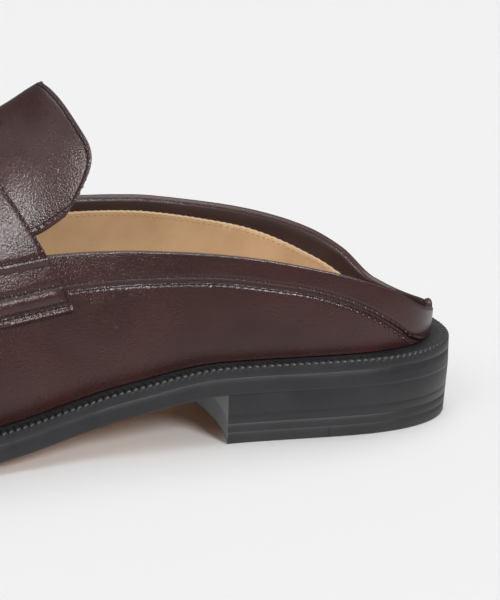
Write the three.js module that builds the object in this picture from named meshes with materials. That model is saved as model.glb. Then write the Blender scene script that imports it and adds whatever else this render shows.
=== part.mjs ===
// Backless loafer, left shoe. Millimetres, +Z up, toe at -X, outer side at -Y, standing on its heel and forefoot.
import * as THREE from "three";
import { mergeVertices } from "three/addons/utils/BufferGeometryUtils.js";

// Driving sizes
const soleLength = 258;
const ballWidth = 91;
const heelLength = 70;
const heelHeight = 13.75;
const topPieceHeight = 3.25;
const liftTop = 5.75;
const topPieceJoint = 42; // distance of the joint from the back of the sole
const breastHollow = 3.2;
const heelInset = 0.5;
const heelTaper = 0.7;
const outsoleThickness = 4.7;
const weltThickness = 2.8;
const weltWidth = 10;
const weltShow = 5; // the part of the welt that shows beside the upper
const insoleThickness = 2.2;
const gap = 0.3;
const wall = 2.2;
const collarTop = 58.7; // height of the inner collar above the floor
const crestHeight = 96; // height of the last's ridge under the tongue's end
const strapThickness = 2;
const tongueThickness = 2.4;
const seamRidge = 0.35;
const apronRidge = 1.1;
const notchDepth = 1.8;

// Ends of the outline: reach of the rounded end and its squareness
const heelEnd = { reach: 35, power: 2.35 };
const toeEnd = { reach: 62, power: 2.1 };
// Ridge line of the last: where it starts behind the heel end and before the toe end
const ridgeInset = { heel: 25, toe: 20 };
const footLean = THREE.MathUtils.degToRad(15);
const throat = { start: 119, end: 152, power: 1.6 };
const columns = 120;
const rowsBelow = 4;
const rowsAbove = 5;

// Plan of the sole: s is a share of soleLength from the back; centre and half are shares of ballWidth.
const planTable = [
  { s: 0, centre: 0, half: 0.34 },
  { s: 0.13, centre: 0, half: 0.34 },
  { s: 0.27, centre: -0.004, half: 0.318 },
  { s: 0.39, centre: -0.024, half: 0.322 },
  { s: 0.5, centre: -0.027, half: 0.38 },
  { s: 0.64, centre: -0.017, half: 0.462 },
  { s: 0.72, centre: 0.003, half: 0.497 },
  { s: 0.81, centre: 0.025, half: 0.487 },
  { s: 0.91, centre: 0.055, half: 0.468 },
  { s: 1, centre: 0.09, half: 0.45 },
];
// Height of the sole's underside as a share of heelHeight.
const soleTable = [
  { s: 0, z: 1 },
  { s: 0.279, z: 1 },
  { s: 0.31, z: 0.953 },
  { s: 0.356, z: 0.82 },
  { s: 0.39, z: 0.715 },
  { s: 0.419, z: 0.6 },
  { s: 0.451, z: 0.48 },
  { s: 0.483, z: 0.362 },
  { s: 0.515, z: 0.262 },
  { s: 0.55, z: 0.16 },
  { s: 0.59, z: 0.068 },
  { s: 0.64, z: 0 },
  { s: 0.79, z: 0 },
  { s: 0.85, z: 0.075 },
  { s: 0.91, z: 0.24 },
  { s: 0.97, z: 0.5 },
  { s: 1, z: 0.655 },
];
// Height of the ridge line above the floor as a share of crestHeight.
const ridgeTable = [
  { s: 0, z: 1.055 },
  { s: 0.3, z: 1.055 },
  { s: 0.43, z: 1.003 },
  { s: 0.477, z: 0.9375 },
  { s: 0.543, z: 0.8385 },
  { s: 0.6, z: 0.748 },
  { s: 0.66, z: 0.654 },
  { s: 0.748, z: 0.534 },
  { s: 0.845, z: 0.427 },
  { s: 0.92, z: 0.358 },
  { s: 1, z: 0.281 },
];
// Collar edge and the seam below it, lateral and medial, as shares of collarTop.
const collarTable = [
  { s: 0, lateral: 0.452, medial: 0.452, seam: 0.41 },
  { s: 0.018, lateral: 0.458, medial: 0.455, seam: 0.412 },
  { s: 0.05, lateral: 0.52, medial: 0.505, seam: 0.418 },
  { s: 0.081, lateral: 0.615, medial: 0.64, seam: 0.495 },
  { s: 0.112, lateral: 0.682, medial: 0.733, seam: 0.565 },
  { s: 0.143, lateral: 0.733, medial: 0.796, seam: 0.628 },
  { s: 0.182, lateral: 0.781, medial: 0.856, seam: 0.68 },
  { s: 0.225, lateral: 0.825, medial: 0.907, seam: 0.718 },
  { s: 0.267, lateral: 0.858, medial: 0.945, seam: 0.752 },
  { s: 0.322, lateral: 0.893, medial: 0.983, seam: 0.79 },
  { s: 0.384, lateral: 0.92, medial: 1, seam: 0.82 },
  { s: 0.457, lateral: 0.93, medial: 1.003, seam: 0.828 },
  { s: 0.62, lateral: 0.93, medial: 1.003, seam: 0.62 },
  { s: 0.8, lateral: 0.93, medial: 1.003, seam: 0.54 },
  { s: 0.93, lateral: 0.93, medial: 1.003, seam: 0.5 },
  { s: 1, lateral: 0.93, medial: 1.003, seam: 0.5 },
];
// Strap: its rear and front edges at the foot and at the crest, and the height of its lower edge.
const strap = { rearFoot: 110.5, rearCrest: 139, frontFoot: 161, frontCrest: 175, bend: 1.8, clear: 0.4 };
const strapLow = { rear: 39.7, slope: 0.1, corner: 2 };
const tongue = { rear: 106.8, reach: 8, edge: THREE.MathUtils.degToRad(35.5), corner: 13, flare: 0.2, clear: 1 };

// Monotone cubic through one column of a table; the argument is a distance from the back.
function curve(table, column) {
  const xs = table.map((row) => row.s * soleLength);
  const ys = table.map((row) => row[column]);
  const d = xs.slice(1).map((x, i) => (ys[i + 1] - ys[i]) / (x - xs[i]));
  const m = xs.map((_, i) => {
    if (i === 0) return d[0];
    if (i === xs.length - 1) return d[i - 1];
    return d[i - 1] * d[i] <= 0 ? 0 : (2 * d[i - 1] * d[i]) / (d[i - 1] + d[i]);
  });
  return (x) => {
    const c = Math.min(Math.max(x, xs[0]), xs[xs.length - 1]);
    let i = 0;
    while (i < xs.length - 2 && c > xs[i + 1]) i += 1;
    const h = xs[i + 1] - xs[i];
    const t = (c - xs[i]) / h;
    const a = (1 + 2 * t) * (1 - t) * (1 - t);
    const b = t * (1 - t) * (1 - t);
    const e = t * t * (3 - 2 * t);
    const g = t * t * (t - 1);
    return a * ys[i] + b * h * m[i] + e * ys[i + 1] + g * h * m[i + 1];
  };
}

const centreShare = curve(planTable, "centre");
const halfShare = curve(planTable, "half");
const soleShare = curve(soleTable, "z");
const ridgeShare = curve(ridgeTable, "z");
const lateralShare = curve(collarTable, "lateral");
const medialShare = curve(collarTable, "medial");
const seamShare = curve(collarTable, "seam");

const underside = (s) => heelHeight * soleShare(s);
const weltTop = (s) => underside(s) + outsoleThickness + gap + weltThickness;
const outsoleTop = (s) => underside(s) + outsoleThickness;
const centre = (s) => ballWidth * centreShare(s);

function endFactor(t, power) {
  const c = Math.min(Math.max(1 - t, 0), 1);
  return (1 - c ** power) ** (1 / power);
}

function halfWidth(s, inset) {
  const heel = endFactor((s - inset) / (heelEnd.reach - inset), heelEnd.power);
  const toe = endFactor((soleLength - inset - s) / (toeEnd.reach - inset), toeEnd.power);
  return (ballWidth * halfShare(s) - inset) * heel * toe;
}

const along = (f, from, to) => from + ((to - from) * (1 - Math.cos(Math.PI * f))) / 2;
const shareOf = (s) => {
  const t = (s - weltShow) / (soleLength - 2 * weltShow);
  return Math.acos(1 - 2 * Math.min(Math.max(t, 0), 1)) / Math.PI;
};
const place = (s, y, z) => new THREE.Vector3(soleLength / 2 - s, y, z);

// A point of the sole's outline, drawn in by inset; side is 1 on the medial side and -1 on the lateral side.
function rim(f, side, inset, height) {
  const s = along(f, inset, soleLength - inset);
  return place(s, centre(s) + side * halfWidth(s, inset), height(s));
}

// One point of the last's surface: f runs from back to toe, angle from the foot's edge up to the ridge.
function last(f, side, angle, layer) {
  const foot = rim(f, side, layer.inset, (s) => weltTop(s) + gap);
  const sRidge = along(f, weltShow + ridgeInset.heel, soleLength - weltShow - ridgeInset.toe);
  const top = place(sRidge, centre(sRidge), crestHeight * ridgeShare(sRidge) - layer.drop);
  const out = Math.cos(angle) / Math.cos(footLean);
  const up = (Math.sin(angle) + Math.sin(footLean)) / (1 + Math.sin(footLean));
  const swell = layer.swell ?? 0;
  const point = new THREE.Vector3();
  point.x = top.x + (foot.x - top.x) * out;
  point.y = top.y + (foot.y - top.y) * out * (1 + swell);
  point.z = foot.z + (top.z - foot.z) * up;
  return point;
}

// The angle at which the last's surface reaches a height.
function angleAt(f, side, z) {
  const s = along(f, weltShow, soleLength - weltShow);
  const sRidge = along(f, weltShow + ridgeInset.heel, soleLength - weltShow - ridgeInset.toe);
  const foot = weltTop(s) + gap;
  const up = (z - foot) / (crestHeight * ridgeShare(sRidge) - foot);
  const sine = up * (1 + Math.sin(footLean)) - Math.sin(footLean);
  return Math.asin(Math.min(Math.max(sine, -1), 1));
}

const outer = { inset: weltShow, drop: 0 };
const inner = { inset: weltShow + wall, drop: wall * 1.1 };

function layerOut(distance) {
  return { inset: weltShow - distance, drop: -distance };
}

function collarAngle(f, side) {
  const s = along(f, weltShow, soleLength - weltShow);
  const share = side > 0 ? medialShare(s) : lateralShare(s);
  const notch = f === 0 ? notchDepth : 0;
  return angleAt(f, side, collarTop * share - notch);
}

function topAngle(f, side) {
  const s = along(f, weltShow, soleLength - weltShow);
  if (s >= throat.end) return Math.PI / 2;
  const edge = collarAngle(f, side);
  const k = Math.max(0, (s - throat.start) / (throat.end - throat.start));
  return edge + (Math.PI / 2 - edge) * k ** throat.power;
}

const half = columns / 2;
const columnShare = (k) => (k <= half ? k / half : (columns - k) / half);
const columnSide = (k) => (k <= half ? 1 : -1);

function body(name, colour, positions, triangles) {
  const geometry = new THREE.BufferGeometry();
  const flat = positions.flatMap((p) => [p.x, p.y, p.z]);
  geometry.setAttribute("position", new THREE.Float32BufferAttribute(flat, 3));
  geometry.setIndex(triangles.flat());
  const merged = mergeVertices(geometry, 1e-4);
  const mesh = new THREE.Mesh(merged, new THREE.MeshStandardMaterial({ color: colour }));
  mesh.name = name;
  return mesh;
}

// Faces between two rings of equal count, each the next one up.
function band(triangles, low, high, count, wrap = true) {
  const last1 = wrap ? count : count - 1;
  for (let k = 0; k < last1; k += 1) {
    const n = (k + 1) % count;
    triangles.push([low + k, low + n, high + n], [low + k, high + n, high + k]);
  }
}

function ladder(triangles, base, up) {
  const add = (a, b, c) => triangles.push(up ? [base + a, base + b, base + c] : [base + a, base + c, base + b]);
  add(0, 1, columns - 1);
  for (let k = 1; k < half - 1; k += 1) {
    add(k, k + 1, columns - k - 1);
    add(k, columns - k - 1, columns - k);
  }
  add(half - 1, half, half + 1);
}

// A body of rings round the sole's outline, closed by caps or, for a strip, by its own first ring.
function slab(name, colour, rings, closed) {
  const positions = [];
  const triangles = [];
  for (const ring of rings)
    for (let k = 0; k < columns; k += 1)
      positions.push(rim(columnShare(k), columnSide(k), ring.inset, ring.height));
  for (let j = 0; j + 1 < rings.length; j += 1) band(triangles, j * columns, (j + 1) * columns, columns);
  if (closed) {
    band(triangles, (rings.length - 1) * columns, 0, columns);
  } else {
    ladder(triangles, 0, false);
    ladder(triangles, (rings.length - 1) * columns, true);
  }
  return body(name, colour, positions, triangles);
}

// Outline of a heel piece between two distances from the back, with a hollow front where it ends at the breast.
function heelOutline(from, to, inset) {
  const steps = 26;
  const points = [];
  const start = Math.max(from, inset);
  const side = (sign, i) => {
    const t = i / steps;
    const s = start + (to - start) * (from > 0 ? t : 1 - Math.cos((Math.PI / 2) * t));
    points.push(new THREE.Vector2(soleLength / 2 - s, centre(s) + sign * halfWidth(s, inset)));
  };
  for (let i = from > 0 ? 0 : 1; i <= steps; i += 1) side(1, i);
  const breast = to >= heelLength ? breastHollow : 0;
  const low = centre(to) - halfWidth(to, inset);
  const high = centre(to) + halfWidth(to, inset);
  for (let i = 1; i < 12 && breast > 0; i += 1) {
    const y = high + ((low - high) * i) / 12;
    const q = (2 * i) / 12 - 1;
    points.push(new THREE.Vector2(soleLength / 2 - to + breast * (1 - q * q), y));
  }
  for (let i = steps; i >= (from > 0 ? 0 : 1); i -= 1) side(-1, i);
  if (from === 0) points.push(new THREE.Vector2(soleLength / 2 - start, centre(start)));
  return points;
}

function heelPiece(name, colour, from, to, levels) {
  const rings = levels.map((z) => heelOutline(from, to, heelInset + heelTaper * (1 - z / heelHeight)));
  const count = rings[0].length;
  const positions = rings.flatMap((ring, j) => ring.map((p) => new THREE.Vector3(p.x, p.y, levels[j])));
  const triangles = [];
  for (let j = 0; j + 1 < rings.length; j += 1) band(triangles, j * count, (j + 1) * count, count);
  for (const [a, b, c] of THREE.ShapeUtils.triangulateShape(rings[0], [])) {
    triangles.push([a, c, b]);
    const base = (rings.length - 1) * count;
    triangles.push([base + a, base + b, base + c]);
  }
  return body(name, colour, positions, triangles);
}

// Height of the stitched line round the upper: the collar band's seam behind the strap, the apron's in front.
function seamAngle(f, side, top) {
  const s = along(f, weltShow, soleLength - weltShow);
  const lift = side > 0 && s < throat.start ? medialShare(s) - lateralShare(s) : 0;
  const wanted = angleAt(f, side, collarTop * (seamShare(s) + lift));
  const range = top + footLean;
  return Math.min(Math.max(wanted, 0.4 * range - footLean), top - 0.3 * range);
}

function ridgeAt(s) {
  const back = THREE.MathUtils.smoothstep(s, 14, 26) * (1 - THREE.MathUtils.smoothstep(s, 104, 110));
  const front = THREE.MathUtils.smoothstep(s, strap.frontFoot + 3, strap.frontFoot + 9);
  return seamRidge * back + apronRidge * front;
}

function upperRow(k, row, layer) {
  const f = columnShare(k);
  const side = columnSide(k);
  const s = along(f, weltShow, soleLength - weltShow);
  const top = topAngle(f, side);
  const seam = seamAngle(f, side, top);
  const spread = Math.min(0.035, 0.18 * (top + footLean));
  const under = seam - spread;
  const over = seam + spread;
  if (row <= rowsBelow) {
    const t = row / rowsBelow;
    return last(f, side, -footLean + (under + footLean) * t, layer);
  }
  if (row === rowsBelow + 1) {
    const ridge = layer.inset === outer.inset ? ridgeAt(s) : 0;
    return last(f, side, seam, { inset: layer.inset - ridge, drop: layer.drop - ridge });
  }
  const t = (row - rowsBelow - 2) / rowsAbove;
  return last(f, side, over + (top - over) * t, layer);
}

function makeUpper() {
  const rows = rowsBelow + 3 + rowsAbove;
  const positions = [];
  const triangles = [];
  for (const layer of [outer, inner])
    for (let j = 0; j < rows; j += 1)
      for (let k = 0; k < columns; k += 1) positions.push(upperRow(k, j, layer));
  const innerBase = rows * columns;
  for (let j = 0; j + 1 < rows; j += 1) {
    band(triangles, j * columns, (j + 1) * columns, columns);
    band(triangles, innerBase + (j + 1) * columns, innerBase + j * columns, columns);
  }
  band(triangles, innerBase, 0, columns);
  const isOpen = (k) => along(columnShare(k), weltShow, soleLength - weltShow) < throat.end;
  const topRow = (rows - 1) * columns;
  for (let k = 0; k < columns; k += 1) {
    const n = (k + 1) % columns;
    if (!isOpen(k) && !isOpen(n)) continue;
    const [a, b] = [topRow + k, topRow + n];
    const [c, d] = [innerBase + topRow + n, innerBase + topRow + k];
    triangles.push([a, b, c], [a, c, d]);
  }
  return body("upper", 0x3f2625, positions, triangles);
}

// A curved plate on the last's surface from a grid of points, with a top, an underside and an edge all round.
function plate(name, colour, across, lengthwise, point) {
  const positions = [];
  const triangles = [];
  const count = across + 1;
  for (const level of [0, 1])
    for (let i = 0; i <= lengthwise; i += 1)
      for (let j = 0; j <= across; j += 1) positions.push(point((2 * j) / across - 1, i / lengthwise, level));
  const base = count * (lengthwise + 1);
  for (let i = 0; i < lengthwise; i += 1)
    for (let j = 0; j < across; j += 1) {
      const [a, b] = [i * count + j, i * count + j + 1];
      const [c, d] = [b + count, a + count];
      triangles.push([a, c, b], [a, d, c]);
      triangles.push([base + a, base + b, base + c], [base + a, base + c, base + d]);
    }
  const edge = (p, q) => triangles.push([p, base + q, base + p], [p, q, base + q]);
  for (let j = 0; j < across; j += 1) {
    edge(j, j + 1);
    edge(lengthwise * count + j + 1, lengthwise * count + j);
  }
  for (let i = 0; i < lengthwise; i += 1) {
    edge((i + 1) * count, i * count);
    edge(i * count + across, (i + 1) * count + across);
  }
  return body(name, colour, positions, triangles);
}

function makeStrap() {
  const point = (v, w, level) => {
    const side = v < 0 ? -1 : 1;
    const reach = Math.abs(v);
    const bow = 1 - reach ** strap.bend;
    const corner = strapLow.corner * Math.max(0, (reach - 0.96) / 0.04) ** 2;
    const rear = strap.rearFoot + (strap.rearCrest - strap.rearFoot) * bow + corner;
    const front = strap.frontFoot + (strap.frontCrest - strap.frontFoot) * bow - corner;
    const s = rear + (front - rear) * w;
    const f = shareOf(s);
    const low = angleAt(f, side, strapLow.rear - strapLow.slope * (s - strap.rearFoot));
    const angle = Math.PI / 2 - reach * (Math.PI / 2 - low);
    return last(f, side, angle, layerOut(strap.clear + strapThickness * level));
  };
  return plate("saddle_strap", 0x452b29, 36, 8, point);
}

function throatAt(angle, side) {
  let low = throat.start;
  let high = throat.end;
  for (let i = 0; i < 30; i += 1) {
    const mid = (low + high) / 2;
    if (topAngle(shareOf(mid), side) < angle) low = mid;
    else high = mid;
  }
  return low;
}

function makeTongue() {
  const point = (v, w, level) => {
    const side = v < 0 ? -1 : 1;
    const reach = Math.abs(v);
    const angle = Math.PI / 2 - reach * (Math.PI / 2 - tongue.edge);
    const front = throatAt(angle, side) - tongue.clear;
    const corner = tongue.corner * Math.max(0, (reach - 0.66) / 0.34) ** 2.6;
    const rear = tongue.rear - tongue.reach * reach * reach + corner;
    const s = rear + (front - rear) * w;
    const free = 1 - THREE.MathUtils.smoothstep(s, 102, 124);
    const depth = tongueThickness * (1 - level);
    const layer = { inset: weltShow + depth, drop: depth * 1.1, swell: tongue.flare * free };
    return last(shareOf(s), side, angle, layer);
  };
  return plate("tongue", 0x452b29, 24, 10, point);
}

const group = new THREE.Group();
group.add(heelPiece("top_piece_rear", 0x1c1c1f, 0, topPieceJoint, [0, topPieceHeight]));
group.add(heelPiece("top_piece_front", 0x1c1c1f, topPieceJoint, heelLength, [0, topPieceHeight]));
group.add(heelPiece("heel_lift", 0x202024, 0, heelLength, [topPieceHeight, liftTop]));
group.add(heelPiece("heel_stack", 0x202024, 0, heelLength, [liftTop, heelHeight]));
group.add(
  slab("outsole", 0xb98a5a, [
    { inset: 0.4, height: underside },
    { inset: 0.2, height: outsoleTop },
  ]),
);
group.add(
  slab(
    "welt",
    0x222226,
    [
      { inset: 0, height: (s) => outsoleTop(s) + gap },
      { inset: 0, height: weltTop },
      { inset: weltWidth, height: weltTop },
      { inset: weltWidth, height: (s) => outsoleTop(s) + gap },
    ],
    true,
  ),
);
group.add(
  slab("insole", 0xc09a6c, [
    { inset: weltWidth + gap, height: (s) => outsoleTop(s) + gap },
    { inset: weltWidth + gap, height: (s) => weltTop(s) + gap },
    { inset: weltShow + wall + gap, height: (s) => weltTop(s) + gap },
    { inset: weltShow + wall + gap, height: (s) => weltTop(s) + gap + insoleThickness },
  ]),
);
group.add(makeUpper());
group.add(makeTongue());
group.add(makeStrap());

export default group;
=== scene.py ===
"""Backless loafer, left shoe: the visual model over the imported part.

Distances are in mm and become metres where a mesh is made. Every surface piece is a grid laid on the last's surface.
"""

import logging
import math
from collections.abc import Callable, Sequence
from dataclasses import dataclass, field
from enum import Enum

import bmesh
import bpy
from mathutils import Matrix, Vector, noise


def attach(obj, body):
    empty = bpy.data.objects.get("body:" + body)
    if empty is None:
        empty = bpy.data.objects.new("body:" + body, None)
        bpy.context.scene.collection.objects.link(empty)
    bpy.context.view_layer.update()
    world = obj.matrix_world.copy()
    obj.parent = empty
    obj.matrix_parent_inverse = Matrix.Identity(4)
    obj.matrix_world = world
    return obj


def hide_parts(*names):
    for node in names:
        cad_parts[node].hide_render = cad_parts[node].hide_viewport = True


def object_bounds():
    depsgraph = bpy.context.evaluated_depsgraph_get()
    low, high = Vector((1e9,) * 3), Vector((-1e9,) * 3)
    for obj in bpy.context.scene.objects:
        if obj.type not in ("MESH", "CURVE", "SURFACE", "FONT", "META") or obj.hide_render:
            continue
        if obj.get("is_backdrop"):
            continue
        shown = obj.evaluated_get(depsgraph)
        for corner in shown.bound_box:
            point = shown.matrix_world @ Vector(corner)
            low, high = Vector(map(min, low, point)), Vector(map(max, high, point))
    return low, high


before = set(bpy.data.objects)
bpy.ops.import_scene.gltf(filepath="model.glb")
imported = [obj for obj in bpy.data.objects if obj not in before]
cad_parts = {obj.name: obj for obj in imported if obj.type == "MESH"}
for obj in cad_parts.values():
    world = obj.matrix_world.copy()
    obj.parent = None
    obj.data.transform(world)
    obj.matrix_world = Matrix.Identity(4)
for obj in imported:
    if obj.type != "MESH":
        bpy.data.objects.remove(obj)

LOG = logging.getLogger("loafer")
MM = 0.001
HALF_PI = math.pi / 2
LEAN = math.radians(15)
ON_RIDGE = HALF_PI - 1e-9
TABLE_STEPS = 12
ROW_STEPS = 240
MERGE = 4e-7
SHARP = math.radians(62)


def smoothstep(x: float, low: float, high: float) -> float:
    """Smooth 0 to 1 between two values.

    Args:
        x: where to read it.
        low: the value where it is still 0.
        high: the value where it is 1.

    Returns:
        The share, from 0 to 1.
    """
    t = min(max((x - low) / (high - low), 0.0), 1.0)
    return t * t * (3 - 2 * t)


def bell(x: float, centre: float, width: float) -> float:
    """A bump of height 1 at centre, gone about two widths away."""
    return math.exp(-(((x - centre) / width) ** 2))


class Curve:
    """A monotone cubic through rows of (share of the length, value)."""

    def __init__(self, rows: Sequence[tuple[float, float]], length: float) -> None:
        """Takes the rows and works out the slopes.

        Args:
            rows: rows of (share, value), by rising share.
            length: the whole length in mm.
        """
        self.xs = [row[0] * length for row in rows]
        self.ys = [row[1] for row in rows]
        d = [(b - a) / (q - p) for a, b, p, q in zip(self.ys, self.ys[1:], self.xs, self.xs[1:])]
        inside = [0.0 if p * q <= 0 else 2 * p * q / (p + q) for p, q in zip(d, d[1:])]
        self.slopes = [d[0], *inside, d[-1]]

    def __call__(self, x: float) -> float:
        """The value at a place, held at both ends.

        Args:
            x: where to read it.

        Returns:
            The value.
        """
        xs, ys, m = self.xs, self.ys, self.slopes
        c = min(max(x, xs[0]), xs[-1])
        i = 0
        while i < len(xs) - 2 and c > xs[i + 1]:
            i += 1
        h = xs[i + 1] - xs[i]
        t = (c - xs[i]) / h
        a = (1 + 2 * t) * (1 - t) ** 2
        e = t * t * (3 - 2 * t)
        return a * ys[i] + t * (1 - t) ** 2 * h * m[i] + e * ys[i + 1] + t * t * (t - 1) * h * m[i + 1]


@dataclass(frozen=True)
class Layer:
    """One skin of the last's surface.

    Args:
        inset: distance of its foot from the sole's outline, in mm.
        drop: how far its ridge lies under the outer skin's, in mm.
        swell: extra width as a share, for a flap that stands out.
    """

    inset: float
    drop: float
    swell: float = 0.0

    def raised(self, distance: float) -> "Layer":
        """The layer that lies further out by a distance in mm."""
        return Layer(self.inset - distance, self.drop - distance, self.swell)


@dataclass
class Last:
    """The shoe's form in mm: plan, profile, ridge, collar and seam lines, as the part's source has them.

    Distances s run from the back of the sole to the toe. Side is 1 on the medial and -1 on the lateral side.
    """

    length: float = 258.0
    ball: float = 91.0
    heel_height: float = 13.75
    outsole: float = 4.7
    welt: float = 2.8
    gap: float = 0.3
    show: float = 5.0
    wall: float = 2.2
    collar: float = 58.7
    crest: float = 96.0
    throat: tuple[float, float, float] = (119.0, 152.0, 1.6)
    notch: tuple[float, float, float] = (-6.8, 4.6, 1.9)
    heel_round: tuple[float, float] = (35.0, 2.35)
    toe_round: tuple[float, float] = (62.0, 2.1)
    ridge_ends: tuple[float, float] = (25.0, 20.0)
    lean_out: tuple[float, float, float] = (1.5, 1.0, 6.5)

    def __post_init__(self) -> None:
        """Lays out the curves of the form, as shares of the length."""
        def curve(*rows: tuple[float, float]) -> Curve:
            """A curve over the whole length."""
            return Curve(rows, self.length)

        self._centre = curve(
            (0, 0), (0.13, 0), (0.27, -0.004), (0.39, -0.024), (0.5, -0.027), (0.64, -0.017), (0.72, 0.003),
            (0.81, 0.025), (0.91, 0.055), (1, 0.09),
        )
        self._half = curve((0, 0.34), (0.13, 0.34), (0.27, 0.318), (0.39, 0.322), (0.5, 0.38), (0.64, 0.462),
                           (0.72, 0.497), (0.81, 0.487), (0.91, 0.468), (1, 0.45))
        self._under = curve((0, 1), (0.279, 1), (0.31, 0.953), (0.356, 0.82), (0.39, 0.715), (0.419, 0.6),
                            (0.451, 0.48), (0.483, 0.362), (0.515, 0.262), (0.55, 0.16), (0.59, 0.068),
                            (0.64, 0), (0.79, 0), (0.85, 0.075), (0.91, 0.24), (0.97, 0.5), (1, 0.655))
        self._ridge = curve((0, 1.055), (0.3, 1.055), (0.43, 1.003), (0.477, 0.9375), (0.543, 0.8385), (0.6, 0.748),
                            (0.66, 0.654), (0.748, 0.534), (0.845, 0.427), (0.92, 0.358), (1, 0.281))
        self._lateral = curve((0, 0.468), (0.018, 0.475), (0.05, 0.535), (0.081, 0.62), (0.112, 0.682),
                              (0.143, 0.733), (0.182, 0.781), (0.225, 0.825), (0.267, 0.858), (0.322, 0.893),
                              (0.384, 0.92), (0.457, 0.93), (1, 0.93))
        self._medial = curve((0, 0.452), (0.018, 0.455), (0.05, 0.505), (0.081, 0.64), (0.112, 0.733),
                             (0.143, 0.796), (0.182, 0.856), (0.225, 0.907), (0.267, 0.945), (0.322, 0.983),
                             (0.384, 1), (0.457, 1.003), (1, 1.003))
        self._seam = curve((0, 0.36), (0.03, 0.365), (0.06, 0.40), (0.081, 0.468), (0.112, 0.555),
                           (0.143, 0.622), (0.182, 0.68), (0.225, 0.718), (0.267, 0.752), (0.322, 0.79),
                           (0.384, 0.82), (0.457, 0.828), (0.62, 0.62), (0.8, 0.54), (0.93, 0.5), (1, 0.5))

    @property
    def outer(self) -> Layer:
        """The outer skin."""
        return Layer(self.show, 0.0)

    @property
    def inner(self) -> Layer:
        """The inner skin, one wall further in."""
        return Layer(self.show + self.wall, self.wall * 1.1)

    def centre(self, s: float) -> float:
        """Middle of the sole across, at a distance from the back."""
        return self.ball * self._centre(s)

    def half(self, s: float, inset: float) -> float:
        """Half width of the outline drawn in by inset.

        Args:
            s: distance from the back, in mm.
            inset: distance from the outline, in mm.

        Returns:
            The half width in mm.
        """

        def end(t: float, power: float) -> float:
            """How far an end has rounded in."""
            c = min(max(1 - t, 0.0), 1.0)
            return (1 - c**power) ** (1 / power)

        heel = end((s - inset) / (self.heel_round[0] - inset), self.heel_round[1])
        toe = end((self.length - inset - s) / (self.toe_round[0] - inset), self.toe_round[1])
        return (self.ball * self._half(s) - inset) * heel * toe

    def underside(self, s: float) -> float:
        """Height of the sole's underside."""
        return self.heel_height * self._under(s)

    def outsole_top(self, s: float) -> float:
        """Height of the outsole's upper face."""
        return self.underside(s) + self.outsole

    def welt_top(self, s: float) -> float:
        """Height of the welt's upper face."""
        return self.outsole_top(s) + self.gap + self.welt

    def along(self, f: float, start: float, end: float) -> float:
        """Distance from the back at a share f, closer together at both ends."""
        return start + (end - start) * (1 - math.cos(math.pi * f)) / 2

    def share_of(self, s: float) -> float:
        """The share f at a distance from the back on the upper's foot line."""
        t = (s - self.show) / (self.length - 2 * self.show)
        return math.acos(1 - 2 * min(max(t, 0.0), 1.0)) / math.pi

    def foot_s(self, f: float) -> float:
        """Distance from the back of a share f on the upper's foot line."""
        return self.along(f, self.show, self.length - self.show)

    def rim(self, f: float, side: int, inset: float, height: float | None = None) -> Vector:
        """A point of the sole's outline drawn in by inset; height defaults to the welt's top.

        Args:
            f: share of the way from back to toe.
            side: 1 medial, -1 lateral.
            inset: distance from the outline, in mm.
            height: height in mm, or None for the welt's top.

        Returns:
            The point in mm.
        """
        s = self.along(f, inset, self.length - inset)
        z = self.welt_top(s) if height is None else height
        return Vector((self.length / 2 - s, self.centre(s) + side * self.half(s, inset), z))

    def surface(self, f: float, side: int, angle: float, layer: Layer) -> Vector:
        """A point of the last's surface, from the foot line at -15 degrees up to the ridge at 90.

        Args:
            f: share of the way from back to toe.
            side: 1 medial, -1 lateral.
            angle: angle on the last, in radians.
            layer: the skin.

        Returns:
            The point in mm.
        """
        foot = self.rim(f, side, layer.inset)
        foot.z += self.gap
        s = self.ridge_s(f)
        top = Vector((self.length / 2 - s, self.centre(s), self.crest * self._ridge(s) - layer.drop))
        out = math.cos(angle) / math.cos(LEAN)
        up = (math.sin(angle) + math.sin(LEAN)) / (1 + math.sin(LEAN))
        wide = out * (1 + layer.swell)
        return Vector((
            top.x + (foot.x - top.x) * out,
            top.y + (foot.y - top.y) * wide,
            foot.z + (top.z - foot.z) * up,
        ))

    def ridge_s(self, f: float) -> float:
        """Distance from the back of a share f on the ridge."""
        return self.along(f, self.show + self.ridge_ends[0], self.length - self.show - self.ridge_ends[1])

    def angle_at(self, f: float, z: float) -> float:
        """The angle at which the outer skin reaches a height.

        Args:
            f: share of the way from back to toe.
            z: height in mm.

        Returns:
            The angle in radians.
        """
        s = self.ridge_s(f)
        foot = self.welt_top(self.foot_s(f)) + self.gap
        up = (z - foot) / (self.crest * self._ridge(s) - foot)
        return math.asin(min(max(up * (1 + math.sin(LEAN)) - math.sin(LEAN), -1.0), 1.0))

    def rate(self, f: float, side: int, angle: float) -> float:
        """Millimetres of surface per radian at an angle.

        Args:
            f: share of the way from back to toe.
            side: 1 medial, -1 lateral.
            angle: angle on the last, in radians.

        Returns:
            The length in mm.
        """
        step, a = 0.01, min(angle, HALF_PI - 0.02)
        high, low = (self.surface(f, side, a + turn, self.outer) for turn in (step, -step))
        return (high - low).length / (2 * step)

    def collar_angle(self, f: float, side: int) -> float:
        """The collar edge's angle, with the rounded notch at the centre of the back.

        Args:
            f: share of the way from back to toe.
            side: 1 medial, -1 lateral.

        Returns:
            The angle in radians.
        """
        s = self.foot_s(f)
        share = self._medial(s) if side > 0 else self._lateral(s)
        across = side * self.half(s, self.show)
        notch = self.notch[1] * bell(across, self.notch[0], self.notch[2])
        return max(self.angle_at(f, self.collar * share - notch), 0.03 - LEAN)

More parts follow.
